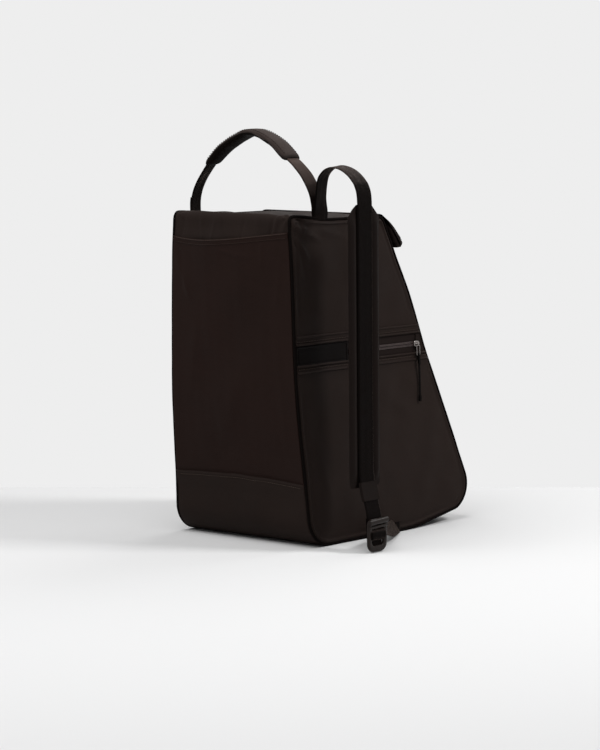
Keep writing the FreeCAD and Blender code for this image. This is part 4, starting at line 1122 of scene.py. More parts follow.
@dataclass
class SideZip:
    """Zip of the side pocket: a band across the strap side, with folded welts, zip at the front, rubber at the back."""

    shell: Shell
    half_tape: float = 15.0
    back_y: float = 95.0
    clear: float = 1.5
    binding: float = 9.5
    gap: float = 0.8
    tape_depth: float = 1.5
    tooth: float = 3.0
    ridge: float = 2.0
    groove: float = 0.8

    def __post_init__(self) -> None:
        """Works out the closed front end of the zip from the slope."""
        body = self.shell
        run = body.top_front_y - (body.height - body.zip_z - 4.0) * body.slope[0] / body.slope[1]
        self.front_y = run + (body.pipe + self.binding + self.clear) / body.slope[1]
        self.out = body.side_way(Side.STRAP)

    def cloth(self, y: Array, z: Array, lift: Number) -> Patch:
        """Cloth on the strap side."""
        return self.shell.side(Side.STRAP, y, z, lift)

    def rows(self, z: Array, first: Number, last: Number, count: int) -> tuple[Array, Array]:
        """Grid over the heights z, between two ends, either of which may change with height.

        Args:
            z: heights of the rows.
            first: y of the rows' first ends.
            last: y of their last ends.
            count: points in a row.

        Returns:
            y and z of the grid.
        """
        first, last = (np.broadcast_to(end, z.shape)[:, None] for end in (first, last))
        y = first + (last - first) * np.linspace(0, 1, count)
        return y, np.broadcast_to(z[:, None], y.shape)

    def welt(self, name: str, way: int, inner: float, outer: float) -> Repeat:
        """Makes one welt: a strip with a folded ridge along both its edges, and a groove beside each.

        Args:
            name: upper or lower.
            way: 1 for the upper welt, -1 for the lower one.
            inner: distance from the tapes' edge at which it starts.
            outer: distance at which it ends.

        Returns:
            The stitches along its middle.
        """
        body, rim = self.shell, self.shell.zip_z + way * self.half_tape
        v = np.linspace(inner, outer, 44)
        y, z = self.rows(rim + way * v, *body.outline.span(rim + way * v, body.pipe), 150)
        lift = 0.6 + sum(self.ridge * bump(v, at, 1.2) - self.groove * bump(v, at + 2.4, 1.0)
                         for at in (inner + 1.7, outer - 1.7))
        lift = lift * smooth(v, inner - 0.2, inner + 0.7) - 0.9 * smooth(v, outer - 0.5, outer)
        waver = Ripple(0.25, 60, 71 + way).over(y, z)
        strip = self.cloth(y, z + 0.3 * waver, lift[:, None] + 0.25 * waver)
        strip.cloth = together(y, distances(together(v, lift))[:, None])
        cut_sheet(f"side_zip_{name}_welt_tape", strip, Place("bag", "zip_tape", SHELL, f"side_zip_{name}_welt"), 1.0)
        z = np.full(60, rim + way * (inner + 5.6))
        first, last = (float(end[0]) for end in body.outline.span(z[:1], body.pipe + 1))
        return stitches(self.cloth(np.linspace(first, last, 60), z, 0.75).points, self.out)

    def chain(self, name: str, way: int) -> None:
        """Makes one tape and its row of teeth: upper with way 1, or lower with way -1."""
        middle = self.shell.zip_z
        rim, edge = middle + way * self.half_tape, middle + way * self.gap / 2
        y, z = self.rows(np.linspace(min(rim, edge), max(rim, edge), 8), self.front_y, self.back_y, 60)
        shape(f"side_zip_{name}_tape_cloth", [self.cloth(y, z, -self.tape_depth)],
              Place("bag", "zip_tape", TAPE, f"side_zip_{name}_tape"), 1.0)
        line = self.cloth(np.linspace(self.front_y, self.back_y, 60), middle, -self.tape_depth).points
        row = zip_teeth(line, self.out, self.gap / 2, way * self.tooth, 1.3 if way > 0 else 0.0)
        shape(f"side_zip_{name}_teeth_row", [row], Place("bag", "zip_teeth", TEETH, f"side_zip_{name}_teeth"))

    def ends(self) -> None:
        """Makes the cloth tab at the zip's front end, and the moulded rubber panel, rimmed and raised, behind it."""
        body = self.shell
        z = body.zip_z + np.linspace(-1, 1, 14) * self.half_tape
        y, z = self.rows(z, body.outline.span(z, body.pipe)[0], self.front_y, 14)
        shape("side_zip_end_tab_cloth", [self.cloth(y, z, -0.3)],
              Place("bag", "zip_tape", TAPE, "side_zip_end_tab"), 2.0)
        z = body.zip_z + np.linspace(-1, 1, 40) * self.half_tape
        last = body.outline.span(z, body.pipe)[1]
        y, z = self.rows(z, self.back_y, last, 120)
        inward = np.minimum(self.half_tape - np.abs(z - body.zip_z), np.minimum(y - self.back_y, last[:, None] - y))
        lift = 0.9 * bump(inward, 2.6, 1.0) + 0.5 * smooth(inward, 4.5, 7.5) - 0.9
        shape("side_rubber_panel_moulding", [self.cloth(y, z, lift + 0.12 * Ripple(1.0, 40, 77).over(y, z))],
              Place("bag", "rubber_panel", RUBBER, "side_rubber_panel"), 1.8)

    def make(self) -> None:
        """Makes the welts, tapes, teeth, end tab, rubber panel and slider."""
        body, threads = self.shell, []
        for name, way, inner, outer in (("upper", 1, -0.4, 13.2), ("lower", -1, -3.2, 9.0)):
            threads.append(self.welt(name, way, inner, outer))
            self.chain(name, way)
        shape("side_zip_stitching", threads, Place("bag", "binding", THREAD))
        self.ends()
        origin = np.array([self.tape_depth - body.half_width(body.zip_z), self.front_y + 0.5, body.zip_z])
        up = units(np.array([body.lean, 0.0, 1.0]))
        Slider("side_zip", origin, np.array([-Y_WAY, up, self.out]), 64.0, rise=1.6).make()


# ---- front -----------------------------------------------------------------------------------------
@dataclass
class Front:
    """The sloping front: the yoke and side strips that frame it, the door, and the zip round the door."""

    shell: Shell
    top_u: float = 72.0
    bottom_u: float = 400.0
    leg_u: float = 128.0
    show: float = 9.0
    strip: float = 24.0
    corner: float = 32.0
    half_gap: float = 0.4
    tape_under: float = 7.0
    tooth: float = 2.6
    puff: float = 4.5
    pull_x: float = 8.0
    row_in: float = 3.0  # distance of the frame's stitching from its edge
    door_folds: Table = ((-60, 300, -30, 130, 14.0, 1.2), (70, 320, 52, 180, 12.0, 1.1),
                         (-20, 390, 30, 330, 16.0, -0.9), (20, 110, 60, 140, 9.0, 0.8))

    def __post_init__(self) -> None:
        """Keeps how far the door's edge is from the side face."""
        self.aside = self.shell.pipe + self.strip + self.show

    def slope_patch(self, x: Array, u: Array, lift: Number) -> Patch:
        """Cloth on the slope, cut by x and u."""
        return Patch(self.shell.on_slope(x, u, lift), cloth=together(x, u))

    def door_half(self, u: Array, grow: float) -> Array:
        """Half width of the door's outline, moved outwards by grow, at u, with its two top corners rounded."""
        top, radius = self.top_u - grow, self.corner + grow
        drop = np.clip(top + radius - u, 0, radius)
        return self.shell.slope_half_width(u) - (self.aside - grow) - radius + np.sqrt(radius**2 - drop**2)

    def edge_line(self, grow: float, low_u: float, step: float = 1.5) -> Array:
        """Line (x, u) up one side of the door's outline, over its top and down the other side.

        Args:
            grow: how far the outline is moved outwards.
            low_u: where both its legs end.
            step: rough distance between points.

        Returns:
            Rows of (x, u).
        """
        top, radius = self.top_u - grow, self.corner + grow
        low, high = (self.shell.slope_half_width(u) - (self.aside - grow) for u in (low_u, top))
        return rounded([(-low, low_u, 0), (-high, top, radius), (high, top, radius), (low, low_u, 0)], False, step)

    def outward(self, line: Array) -> Array:
        """Ways out of the door's outline along a line from edge_line."""
        way = units(np.gradient(line, axis=0))
        return together(way[:, 1], -way[:, 0])

    def frame_lift(self, inner: Array, outer: Array, x: Array, u: Array) -> Array:
        """Height of the fixed cloth: a folded edge at the zip, puffed, pulled in at the side seams.

        Args:
            inner: distance from the zip's edge.
            outer: distance from the side seam.
            x: place across the slope.
            u: place down the slope.

        Returns:
            The height off the slope.
        """
        lift = 0.7 * bump(inner, 1.4, 1.3) + 0.9 * smooth(inner, 3, 8) - 0.7 * np.exp(-outer / 3)
        return lift + Ripple(0.3, 50, 81).over(x, u) * smooth(inner, 3, 8)

    def framed(self, node: str, patch: Patch, row: Array) -> None:
        """Makes a piece of the fixed frame, from its cloth and the (x, u) line of its stitching."""
        thread = self.topstitch(f"{node}_topstitch", row, 0.7, "bag")
        cut_sheet(f"{node}_cloth", patch, Place("bag", "shell_cloth", SHELL, node), self.shell.cloth)

    def yoke(self) -> None:
        """Yoke over the door and a little down both sides: its grid runs straight out of the door's edge."""
        body = self.shell
        line = self.edge_line(self.show, self.leg_u, 2.0)
        way = self.outward(line)
        top_u = body.front_seam_u
        slant = (body.slope_half_width(self.leg_u) - body.slope_half_width(top_u)) / (self.leg_u - top_u)
        side = units(np.array([1.0, -slant]))
        reach = (body.slope_half_width(0.0) - body.pipe) * side[0]
        room = []
        for normal, far in ((side, reach), (side * [-1, 1], reach), (np.array([0, -1.0]), -top_u)):
            facing = way @ normal
            room.append(np.where(facing > 1e-3, (far - line @ normal) / np.maximum(facing, 1e-3), 1e9))
        room = np.minimum.reduce(room)
        t = np.concatenate([[0, 0.02, 0.04, 0.07, 0.1, 0.14], np.linspace(0.18, 1, 20)])[:, None]
        x, u = np.moveaxis(line + (t * room)[..., None] * way, -1, 0)
        self.framed("front_yoke", self.slope_patch(x, u, self.frame_lift(t * room, (1 - t) * room, x, u)),
                    self.edge_line(self.show + self.row_in, self.leg_u - 1))

    def topstitch(self, name: str, line: Array, n: float, body: str) -> bpy.types.Object:
        """Row of stitches along a line (x, u) on the slope."""
        points = self.shell.on_slope(line[:, 0], line[:, 1], n)
        return shape(name, [stitches(points, self.shell.slope_way)], Place(body, "binding", THREAD))

    def strips(self) -> None:
        """The two narrow strips that run on from the yoke down to the base panel."""
        body = self.shell
        u = np.linspace(self.leg_u, body.door_fold_u, 90)
        outer = body.slope_half_width(u) - body.pipe
        t = np.concatenate([[0, 0.04, 0.08, 0.13, 0.18, 0.25], np.linspace(0.32, 1, 12)])[:, None]
        for side, node in ((Side.STRAP, "strap_side_front_strip"), (Side.PLAIN, "plain_side_front_strip")):
            x = side.value * (outer - self.strip + self.strip * t)
            lift = self.frame_lift(self.strip * t, self.strip * (1 - t), x, u)
            self.framed(node, self.slope_patch(x, u, lift),
                        together(side.value * (outer - self.strip + self.row_in), u))

    def door(self) -> None:
        """Door: padded cloth that puffs between its stitched edges."""
        body = self.shell
        t = np.linspace(0, 1, 110)[:, None]
        u = self.top_u + (self.bottom_u - self.top_u) * (0.55 * t + 0.45 * t**1.8)
        x = dense_in_ends(90) * self.door_half(u, 0.0)
        u = np.broadcast_to(u, x.shape)
        centre = self.corner + self.top_u
        side = body.slope_half_width(u) - self.aside - np.abs(x)
        arc = self.corner - np.hypot(np.maximum(self.corner - side, 0), np.maximum(centre - u, 0))
        inward = np.where((u < centre) & (side < self.corner), arc, np.minimum(side, u - self.top_u))
        inward = np.maximum(inward, 0)
        lift = 0.6 * bump(inward, 1.6, 1.4) + self.puff * (1 - fading(inward - 3, 22))
        ripple = Ripple(0.8, 90, 91).over(x, u) + folds(self.door_folds, x, u)
        lift = (lift + ripple * smooth(inward, 4, 30)) * (1 - 0.75 * smooth(u, self.bottom_u - 45, self.bottom_u))
        lift = lift - 2.0 * smooth(u, self.bottom_u - 6, self.bottom_u)
        thread = self.topstitch("front_door_topstitch", self.edge_line(-3.2, self.bottom_u - 4), 0.55, "front_door")
        cut_sheet("front_door_cloth", self.slope_patch(x, u, lift),
                  Place("front_door", "shell_cloth", SHELL, "front_door"), body.cloth)

    def door_lining(self) -> None:
        """The door's lining, slack behind its cloth."""
        u = np.linspace(self.top_u + 1.2, self.bottom_u - 0.5, 60)[:, None]
        x = np.linspace(-1, 1, 40) * self.door_half(u, -1.0)
        slack = -self.shell.cloth - 1.4 - 0.4 * np.abs(Ripple(0.6, 60, 92).over(x, u))
        cut_sheet("front_door_lining_cloth", self.slope_patch(x, u, slack),
                  Place("front_door", "lining_cloth", TAFFETA, "front_door_lining"), 0.8)

    def zip(self) -> None:
        """Zip round the door: a tape and a row of teeth on the door, the same on the frame, and two sliders on top."""
        body, middle = self.shell, self.show / 2
        line = self.edge_line(middle, self.bottom_u - 0.5)
        points = body.on_slope(line[:, 0], line[:, 1], -body.cloth)
        for name, rides, way in (("door", "front_door", -1), ("frame", "bag", 1)):
            offsets = np.sort(way * np.linspace(self.half_gap, middle + self.tape_under, 10))[:, None]
            x, u = np.moveaxis(line + offsets[..., None] * self.outward(line), -1, 0)
            tape = Patch(body.on_slope(x, u, -body.cloth), cloth=together(offsets, distances(line)))
            shape(f"front_zip_{name}_tape_cloth", [tape],
                  Place(rides, "zip_tape", TAPE, f"front_zip_{name}_tape"), 1.0)
            row = zip_teeth(points, body.slope_way, self.half_gap, -way * self.tooth, 1.3 if way > 0 else 0.0)
            shape(f"front_zip_{name}_teeth_row", [row], Place(rides, "zip_teeth", TEETH, f"front_zip_{name}_teeth"))
        for name, side in (("strap_side", Side.STRAP), ("plain_side", Side.PLAIN)):
            origin = body.on_slope(side.value * self.pull_x, self.top_u - middle, -body.cloth)
            Slider(f"front_zip_{name}", origin, np.array([-side.value * X_WAY, body.up_slope, body.slope_way]), 40.0,
                   full_back=False).make()

    def make(self) -> None:
        """Makes the yoke, strips, door, its lining and the zip."""
        self.yoke()
        self.strips()
        self.door()
        self.door_lining()
        self.zip()


@dataclass
class Flap:
    """Padded flap, stitched near its edges, hinged on the top panel and bent over the front edge."""

    shell: Shell
    length: float = 59.0
    inset: float = 0.5
    end_r: float = 4.0
    seam_share: float = 0.83  # where its cross seam is, along it
    fixed_y: float = 11.5  # how far behind the front edge its fixed part reaches
    free_y: float = 5.0  # and where its free part starts
    over: Table = ((5, 4.6), (15.5, 12.4), (28, 19.0), (41.5, 25.0), (52, 29.4), (58, 28.2))
    under: Table = ((7, 3.0), (17, 5.6), (30, 8.2), (43, 9.8), (52, 10.4), (58, 12.6))

    def line(self, root: Table, stops: Table, count: int) -> Array:
        """One face of the flap from its root to its tip.

        Args:
            root: stops (y, z) from the body's top front edge.
            stops: stops (u, n) from the slope.
            count: points in the line.

        Returns:
            Points (y, z), evenly along the face.
        """
        body = self.shell
        start = np.array([body.top_front_y, body.height])
        on_slope = [start + (-u * body.slope[0] - n * body.slope[1], -u * body.slope[1] + n * body.slope[0])
                    for u, n in (*stops, (self.length + 1.0, 19.0))]
        face = flowing([*(start + np.array(stop) for stop in root), *on_slope], 1.4)
        even, own = np.linspace(0, 1, count), np.linspace(0, 1, len(face))
        return np.stack([np.interp(even, own, part) for part in face.T], axis=1)

    def make(self) -> None:
        """Makes the flap: its upper and lower lines share their distance along, and draw together at its ends."""
        body, count = self.shell, 60
        upper = self.line([(12, 1.6), (6, 2.2), (1, 1.4)], self.over, count)
        lower = self.line([(12, 0.8), (5, 0.8), (0, -0.4)], self.under, count)
        middle = (upper + lower) / 2
        long = body.half_width(body.height - 20) - self.inset
        x = long * dense_in_ends(120)
        to_end = (long - np.abs(x))[:, None]
        full = np.sqrt(np.clip(1 - np.clip(1 - to_end / self.end_r, 0, 1) ** 2, 0.004, 1))
        along = np.linspace(0, 1, count)
        grow = full * (1 - 0.22 * bump(along, self.seam_share, 0.03)) * (1 - 0.1 * bump(to_end, 11.0, 2.2))
        grow = grow * (1 + 0.06 * Ripple(1.0, 45, 95).over(x[:, None], along[None] * 70))
        faces = [middle + (line - middle) * grow[..., None] for line in (upper, lower)]
        y, z = np.moveaxis(np.concatenate([faces[0], faces[1][:, -2:0:-1]], axis=1), -1, 0)
        # The flap takes the pad's darker nylon as painted shade.
        cushion = shape("top_flap_cushion", [capped(together(x[:, None], y, z))],
                        Place("", "pad", PAD_CLOTH, "top_flap"))
        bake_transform(cushion)
        at = int(self.seam_share * count)
        y, z = middle[at] + (upper[at] - middle[at]) * 0.8
        row = stitches(together(x[6:-6], y, z), np.array([0, *units(upper[at] - lower[at])]))
        shape("top_flap_stitching", [row], Place("top_flap", "binding", THREAD))


# ---- handle and strap ------------------------------------------------------------------------------
def webbing(line: Array, across: Array, width: float, thick: float) -> Patch:
    """Closed grid of webbing along a line: a flat bar with rounded selvedges, a little thicker at the edges."""
    share = np.concatenate([np.linspace(-1, 1, 17), np.linspace(1, -1, 17)])
    face = np.repeat([1.0, -1.0], 17)
    rim = np.sqrt(np.clip(1 - np.clip((np.abs(share) - 0.93) / 0.07, 0, 1) ** 2, 0, 1))
    rise = face * thick / 2 * rim * (1 + 0.14 * bump(np.abs(share), 0.9, 0.05))
    return capped(sweep(line, across, together(width / 2 * share, rise)))


def twisted(line: Array, degrees: Array) -> Array:
    """The way across a line that runs in the bag's x and z, turned about its tangent by an angle at each point."""
    tangent = units(np.gradient(line, axis=0))
    wide = units(Y_WAY - (tangent * Y_WAY).sum(axis=1, keepdims=True) * tangent)
    turn = np.radians(degrees)[:, None]
    return wide * np.cos(turn) + np.cross(tangent, wide) * np.sin(turn)


def edge_stitching(name: str, body: str, line: Array, across: Array, out: Array, aside: float) -> None:
    """Two rows of dark stitches, one on each side of a line.

    Args:
        name: the piece's name.
        body: the body that it rides on.
        line: points between the rows, at the rows' height.
        across: the way across at each point.
        out: the way out at each point.
        aside: distance of the rows from the line.
    """
    rows = [stitches((line + across * side * aside)[3:-3], out[3:-3], 4.0, 2.8) for side in (-1, 1)]
    shape(name, rows, Place(body, "piping", BIAS))


@dataclass
class Handle:
    """Carry handle: a webbing arch with a padded sleeve round its middle, its feet sewn into the top seams."""

    y: float = 158.0
    web_width: float = 25.0
    web_thick: float = 2.4
    ply_thick: float = 1.5
    grip_from: float = -66.5
    grip_to: float = 77.0
    grip_width: float = 35.0
    grip_thick: float = 10.5
    grip_length: float = 165.0
    ridge: float = 0.9  # height of the seams along the grip's two edges
    bend_z: tuple[float, float] = (451.0, 474.0)
    stops: Table = (
        (104.0, 9, 447.5), (105.4, 9, 457), (105.1, 9, 470), (102.2, 8.5, 483), (96.2, 8, 495.5), (87.5, 7.5, 508),
        (73.6, 6.3, 525), (55.2, 4.8, 542), (42.2, 3.7, 550.4), (28.4, 2.5, 558), (9.6, 0.9, 565.2), (-9.8, 0.2, 564),
        (-31.6, 0.2, 555), (-43.6, 0.4, 547.8), (-62.9, 0.8, 532), (-74.9, 0.2, 522.6), (-88.0, -3.2, 507),
        (-98.9, -6.2, 486), (-102.2, -8, 470), (-103.2, -8, 461), (-103.4, -8, 447.5))

    def bending(self, name: str, patch: Patch, node: str) -> None:
        """Makes a webbing piece that rides on no body, its transform baked into its mesh."""
        piece = shape(name, [patch], Place("", "webbing", HANDLE_WEBBING, node))
        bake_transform(piece)

    def make(self) -> None:
        """Makes the webbing, its second plies at the feet, the grip and their stitching."""
        line = flowing(self.stops, 2.0) + self.y * Y_WAY
        across = twisted(line, 10 * smooth(line[:, 0], 40, 95) + 4 * smooth(-line[:, 0], 60, 100))
        self.bending("handle_webbing_strap", webbing(line, across, self.web_width, self.web_thick), "handle_webbing")
        out = units(np.cross(units(np.gradient(line, axis=0)), across))
        for name, picked, way in (("plain_side", slice(0, 14), 1), ("strap_side", slice(-14, None), -1)):
            near = out[picked] * (self.web_thick / 2 + 0.85)
            run = line[picked] + near * np.sign((near[:, :1] * way).sum())
            ply = webbing(run, across[picked], self.web_width - 0.6, self.ply_thick)
            self.bending(f"handle_anchor_{name}_ply", ply, f"handle_anchor_{name}")
        self.grip(line, across, out)

    def grip(self, line: Array, across: Array, out: Array) -> None:
        """Grip: a cloth sleeve over foam, with a raised seam along both edges, narrower at its stitched ends."""
        inside = (line[:, 0] > self.grip_from) & (line[:, 0] < self.grip_to)
        run, wide, face = line[inside], across[inside], out[inside]
        t, count = np.linspace(0, 1, len(run)), 44
        to_end = np.minimum(t, 1 - t) * self.grip_length
        narrow = self.web_width + 1.5
        ring = soft_section(narrow + (self.grip_width - narrow) * smooth(to_end, -5, 6),
                            self.grip_thick * (1 - 0.5 * fading(to_end, 2.0)), 2.6, count)
        uneven = Ripple(1.0, 26, 96).over(t[:, None] * self.grip_length, np.arange(count)[None] * 2.0)
        ring *= (1 + 0.02 * uneven)[..., None]
        turn = np.linspace(0, 2 * math.pi, count, endpoint=False)
        for edge, way in ((0.0, 1), (math.pi, -1)):
            ring[..., 0] += way * self.ridge * bump(np.angle(np.exp(1j * (turn - edge))), 0.0, 0.16)
        grip = shape("handle_grip_sleeve", [capped(sweep(run, wide, ring))],
                     Place("carry_handle", "grip", GRIP_CLOTH, "handle_grip"))
        upper = face if face[len(face) // 2, 2] > 0 else -face
        edge_stitching("handle_grip_stitching", "carry_handle", run + upper * self.grip_thick * 0.43, wide, upper,
                       self.grip_width / 2 - 4.2)


@dataclass
class ShoulderStrap:
    """Shoulder strap: webbing over its arch and down a long pad to a buckle, and a short end to the base seam."""

    shell: Shell
    y: float = 146.5
    foot_x: float = -105.6
    out_x: float = -181.5
    low_x: float = -186.0
    buckle_x: float = -205.05
    web_width: float = 32.0
    web_thick: float = 2.0
    lower_width: float = 22.0
    lower_thick: float = 1.6
    pad_top: float = 471.0
    pad_low: float = 87.0
    pad_width: float = 65.0
    pad_thick: float = 9.0
    buckle_width: float = 40.0
    buckle_height: float = 46.0
    floor_gap: float = 0.4
    bend_z: tuple[float, float] = (453.0, 482.0)
    arch: Table = (
        (-104.0, 447.5), (-105.2, 458), (-105.3, 470), (-105.7, 482), (-107.3, 495.5), (-110.6, 507), (-118.5, 515.6),
        (-127, 519.6), (-136, 520.6), (-146, 519.2), (-155, 515.8), (-162, 511.6), (-167.6, 507.2), (-172, 502.6),
        (-175.7, 498), (-179.2, 490.6), (-180.9, 484), (-181.8, 475), (-182.2, 462), (-182.7, 420), (-183.8, 300),
        (-184.9, 200), (-185.6, 135), (-186.8, 106), (-189.8, 87), (-194.6, 69), (-198.9, 53), (-200.8, 40))

    def __post_init__(self) -> None:
        """Works out the middle of the webbing, from the top seam over the arch and down to the buckle."""
        self.path = self.hung(flowing(self.arch, 2.0))

    def hung(self, line: Array) -> Array:
        """A line (x, z) set in the strap's own plane."""
        return together(line[:, 0], self.y, line[:, 1])

    def by_buckle(self, corners: Table) -> Array:
        """Line in the strap's plane, rounded at its corners, which are (x from the buckle's, z, radius)."""
        return self.hung(rounded([(self.buckle_x + x, z, radius) for x, z, radius in corners], False, 1.0))

    def webbing(self) -> None:
        """Webbing over its arch, down the pad and round the buckle's middle bar, in two pieces parted at its crest."""
        middle = self.floor_gap + self.buckle_height / 2
        loop = self.by_buckle([(4.25, 40, 0), (3.6, middle + 9, 3), (-3.7, middle + 4, 2.4), (-3.7, middle - 4, 2.4),
                               (3.6, middle - 9, 3), (5.2, middle - 3, 2.0), (6.4, middle + 24, 0)])
        line = np.concatenate([self.path, loop[1:]])
        across = twisted(line, 11.0 * smooth(line[:, 2], 452, 480) * (1 - smooth(-line[:, 0], 108, 150)))
        crest = int(np.argmax(line[:, 2]))
        foot, hanging = (webbing(line[part], across[part], self.web_width, self.web_thick)
                         for part in (slice(0, crest + 1), slice(crest, None)))
        foot = shape("shoulder_strap_foot_webbing", [foot], Place("", "webbing", WEBBING, "strap_top_anchor"))
        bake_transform(foot)
        shape("shoulder_strap_webbing", [hanging], Place("shoulder_strap", "webbing", WEBBING, "strap_webbing"))

    def pad(self) -> None:
        """Pad: foam in cloth, crowned on its inner side, its flanks standing up beside the webbing in its channel."""
        z = np.concatenate([np.linspace(self.pad_top, self.pad_top - 14, 12)[:-1],
                            np.linspace(self.pad_top - 14, self.pad_low + 12, 130),
                            np.linspace(self.pad_low + 12, self.pad_low, 14)[1:]])
        fall = (self.out_x - self.low_x) / (522 - self.pad_low)
        x = self.low_x + (z - self.pad_low) * fall + self.web_thick / 2 + 0.9
        line = together(x, self.y, z)
        across = twisted(line, 0 * z)
        from_top, from_low = (self.pad_top - z)[:, None], (z - self.pad_low)[:, None]
        to_end = np.minimum(from_top, from_low)
        half = self.pad_width / 4 * (1 + np.clip(from_top / 17, 0, 1)) + 1.2 * bump(from_top, 20, 10)
        half -= 3.0 * fading(from_low, 2.2)
        share = dense_in_ends(44)
        a = half * share
        wavy = 1 + 0.05 * Ripple(1.0, 60, 97).over(z[:, None], a)
        crown = self.pad_thick * (1 - np.abs(share) ** 3.4) ** 0.8 * np.sqrt(np.clip(to_end / 7, 0.03, 1)) * wavy
        flank = 3.4 * bump(np.abs(a), 24.5, 6.5) * smooth(half - np.abs(a), 0, 3.5) * wavy
        flank = flank * smooth(from_top, 6, 30) * smooth(from_low, 4, 24)
        flank = flank - 0.42 * bump(np.abs(a), 17.2, 1.6) * smooth(to_end, 4, 12)
        face = units(np.cross(units(np.gradient(line, axis=0)), across))
        turned = 1 if face[len(face) // 2, 0] > 0 else -1
        ring = together(np.concatenate([a, a[:, -2:0:-1]], axis=1),
                        turned * np.concatenate([crown, -flank[:, -2:0:-1]], axis=1))
        tail = self.path[(self.path[:, 2] > 68) & (self.path[:, 2] < 96)]
        sleeve = webbing(tail, Y_WAY, self.web_width + 5.0, self.web_thick + 2.6)
        pad = shape("shoulder_pad_cushion", [capped(sweep(line, across, ring)), sleeve],
                    Place("shoulder_strap", "pad", PAD_CLOTH, "strap_pad"))
        out = -turned * face
        edge_stitching("shoulder_pad_stitching", "shoulder_strap", (line + out * (self.web_thick + 0.95))[1:],
                       across[1:], out[1:], self.web_width / 2 - 2.2)

    def buckle(self) -> None:
        """Buckle: a thick rounded frame, heavier below, with a middle bar and a rolled lip that stands out on top."""
        low, high = self.floor_gap, self.floor_gap + self.buckle_height
        near, far = (self.y + side * (self.buckle_width / 2 - 3.6) for side in (-1, 1))
        corners = (near, low + 4.3, 9), (far, low + 4.3, 9), (far, high - 4, 4), (near, high - 4, 4)
        y, z = rounded(corners, True, 1.2)[:-1].T
        wide = 7.0 + 1.6 * (1 - smooth(z, low + 5, low + 15))
        parts = [hoop(together(self.buckle_x, y, z), X_WAY, soft_section(5.0, wide, 3.4, 24))]
        y = np.linspace(near - 2.6, far + 2.6, 22)
        lean = 1.6 * (self.y - y) / (far - near)
        for x, z, deep, tall, square in ((0.0, low + self.buckle_height / 2 + 0 * y, 4.2, 4.8, 2.6),
                                         (-2.4, high - 4.4 + lean, 7.4, 7.6, 2.3),
                                         (-1.4, high - 11.4 + lean, 5.2, 4.4, 2.3)):
            parts.append(capped(sweep(together(self.buckle_x + x, y, z), X_WAY, soft_section(deep, tall, square, 20))))
        shape("strap_buckle_moulding", parts, Place("shoulder_strap", "buckle_plastic", ACETAL, "strap_buckle"))

    def lower_end(self) -> None:
        """Short webbing from the buckle's lower bar to the seam above the base, turning upright on its way."""
        body = self.shell
        start = np.array([self.buckle_x + 11.0, self.y - 14, 27.0])
        end = np.array([-(body.half_width(10.0) + 1.2), 2.0, 10.0])
        t = np.linspace(0, 1, 80)[:, None]
        sag = np.sin(math.pi * t) * np.array([4.0, 0.0, 3.0])
        first = [[self.buckle_x + 4.6, self.y - 3, 26.5], [self.buckle_x + 7.0, self.y - 8, 26.4]]
        line = flowing(np.concatenate([first, start + (end - start) * t - sag])[::8], 2.0)
        angle = np.radians(22 + 34 * smooth(np.linspace(0, 1, len(line)), 0.02, 0.6))[:, None]
        level = units(np.cross(Z_WAY, units(np.gradient(line, axis=0))))
        strap = webbing(line, level * np.cos(angle) + Z_WAY * np.sin(angle), self.lower_width, self.lower_thick)
        turned = webbing(self.by_buckle([(0.6, 7.4, 0), (1.0, 15, 4), (2.6, 24.5, 0)]), Y_WAY, self.lower_width + 1,
                         self.lower_thick)
        piece = shape("strap_lower_webbing_strap", [strap, turned],
                      Place("", "webbing", WEBBING, "strap_lower_webbing"))
        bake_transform(piece)
        y, z = np.meshgrid(np.linspace(-7, 3.4, 10), np.linspace(2.4, 15.0, 10))
        shape("strap_lower_anchor_ply", [body.side(Side.STRAP, y, z, 1.5)],
              Place("bag", "webbing", WEBBING, "strap_lower_anchor"), 1.4)

    def make(self) -> None:
        """Makes the webbing, pad, buckle and lower end."""
        self.webbing()
        self.pad()
        self.buckle()
        self.lower_end()


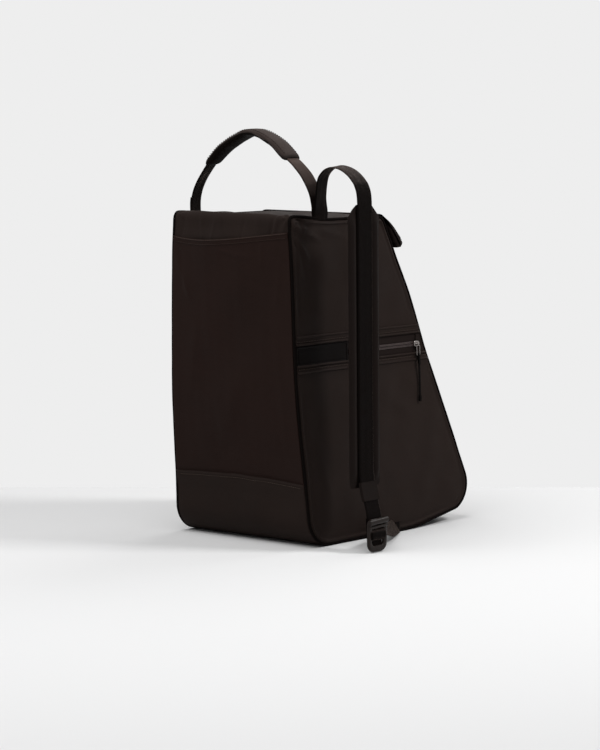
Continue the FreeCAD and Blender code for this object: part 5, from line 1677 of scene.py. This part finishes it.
# ---- studio ----------------------------------------------------------------------------------------
@dataclass
class Studio:
    """Pale floor, soft lamps, plain background and the camera."""

    wall: str = "#EEEEEE"
    board: str = "#DEDEDE"
    daylight: str = "#F4F4F6"
    daylight_strength: float = 0.22
    floor_reach: float = 0.357
    floor_size: float = 6.0
    floor_z: float = -0.0004
    location: tuple[float, float, float] = (-2.5415, 3.0936, 0.6440)
    forward: tuple[float, float, float] = (0.63914, -0.76169, -0.10642)
    lens: float = 134.4
    lamps: tuple[tuple[str, float, float, tuple, tuple], ...] = (  # name, power, size, place and aim
        ("key_lamp", 53.0, 2.2, (0.1, 1.2, 2.3), (0, 0.05, 0.25)),
        ("side_lamp", 35.0, 0.5, (-1.75, -0.8, 1.95), (0, 0, 0.25)),
        ("rim_lamp", 18.0, 1.6, (0.2, -1.8, 1.9), (0, 0, 0.3)))

    def floor(self) -> None:
        """Pale matt floor, whose far edge lies across the view behind the bag."""
        way = units(np.array(self.forward[:2]))
        side = np.array([-way[1], way[0]])
        far, size = self.floor_reach, self.floor_size
        corners = [way * reach + side * across
                   for reach, across in ((far, -size), (far, size), (-size, size), (-size, -size))]
        mesh = bpy.data.meshes.new("floor")
        mesh.from_pydata([(float(x), float(y), self.floor_z) for x, y in corners], [], [(0, 1, 2, 3)])
        made = bpy.data.materials.new("painted board, off-white")
        made.use_nodes = True
        made.node_tree.nodes.clear()
        shader = add(made.node_tree, "BsdfPrincipled", {"Base Color": linear(self.board), "Roughness": 0.9,
                                                        "Specular IOR Level": 0.1})
        add(made.node_tree, "OutputMaterial", {"Surface": shader})
        mesh.materials.append(made)
        if mesh.polygons[0].normal.z < 0:
            mesh.flip_normals()
        linked("studio_floor", mesh)

    def aimed(self, name: str, data: bpy.types.ID, place: Sequence[float], way: Sequence[float]) -> bpy.types.Object:
        """A lamp or camera at its place, looking along a way."""
        piece = linked(name, data)
        piece.location = place
        piece.rotation_euler = Vector(way).to_track_quat("-Z", "Y").to_euler()
        return piece

    def light(self) -> None:
        """A large key over the bag, a smaller lamp above its strap side, and a weak rim lamp behind."""
        for name, power, size, place, aim in self.lamps:
            lamp = bpy.data.lights.new(name, "AREA")
            lamp.energy, lamp.size = power, size
            self.aimed(name, lamp, place, [a - b for a, b in zip(aim, place)])

    def background(self) -> None:
        """World: the plain wall for the viewer and for reflections, and a soft weak light for the rest."""
        world = bpy.data.worlds.new("studio")
        world.use_nodes = True
        tree = world.node_tree
        tree.nodes.clear()
        seen = add(tree, "Background", {"Color": linear(self.wall), "Strength": 1.0})
        lit = add(tree, "Background", {"Color": linear(self.daylight), "Strength": self.daylight_strength})
        path = add(tree, "LightPath").outputs
        direct = add(tree, "Math", {0: path["Is Camera Ray"], 1: path["Is Glossy Ray"]}, operation="MAXIMUM")
        direct = add(tree, "Math", {0: direct, 1: path["Is Transmission Ray"]}, operation="MAXIMUM")
        add(tree, "OutputWorld", {"Surface": add(tree, "MixShader", {0: direct, 1: lit, 2: seen})})
        bpy.context.scene.world = world

    def camera(self) -> None:
        """Camera, level with the bag's upper half and to its back left."""
        lens = bpy.data.cameras.new("camera")
        lens.lens, lens.sensor_width, lens.sensor_fit, lens.clip_end = self.lens, 36.0, "AUTO", 50
        bpy.context.scene.camera = self.aimed("camera", lens, self.location, self.forward)

    def make(self) -> None:
        """Sets up the whole studio."""
        self.floor()
        self.light()
        self.background()
        self.camera()
        bpy.context.scene.view_settings.view_transform = "Standard"


def main() -> None:
    """Builds every piece over the frame, and the studio round it."""
    shell = Shell()
    for part in (shell, SlipPocket(shell), Insides(shell), SideZip(shell), Front(shell), Flap(shell), Handle(),
                 ShoulderStrap(shell), Studio()):
        part.make()


if __name__ == "__main__":
    logging.basicConfig(level=logging.INFO)
    main()
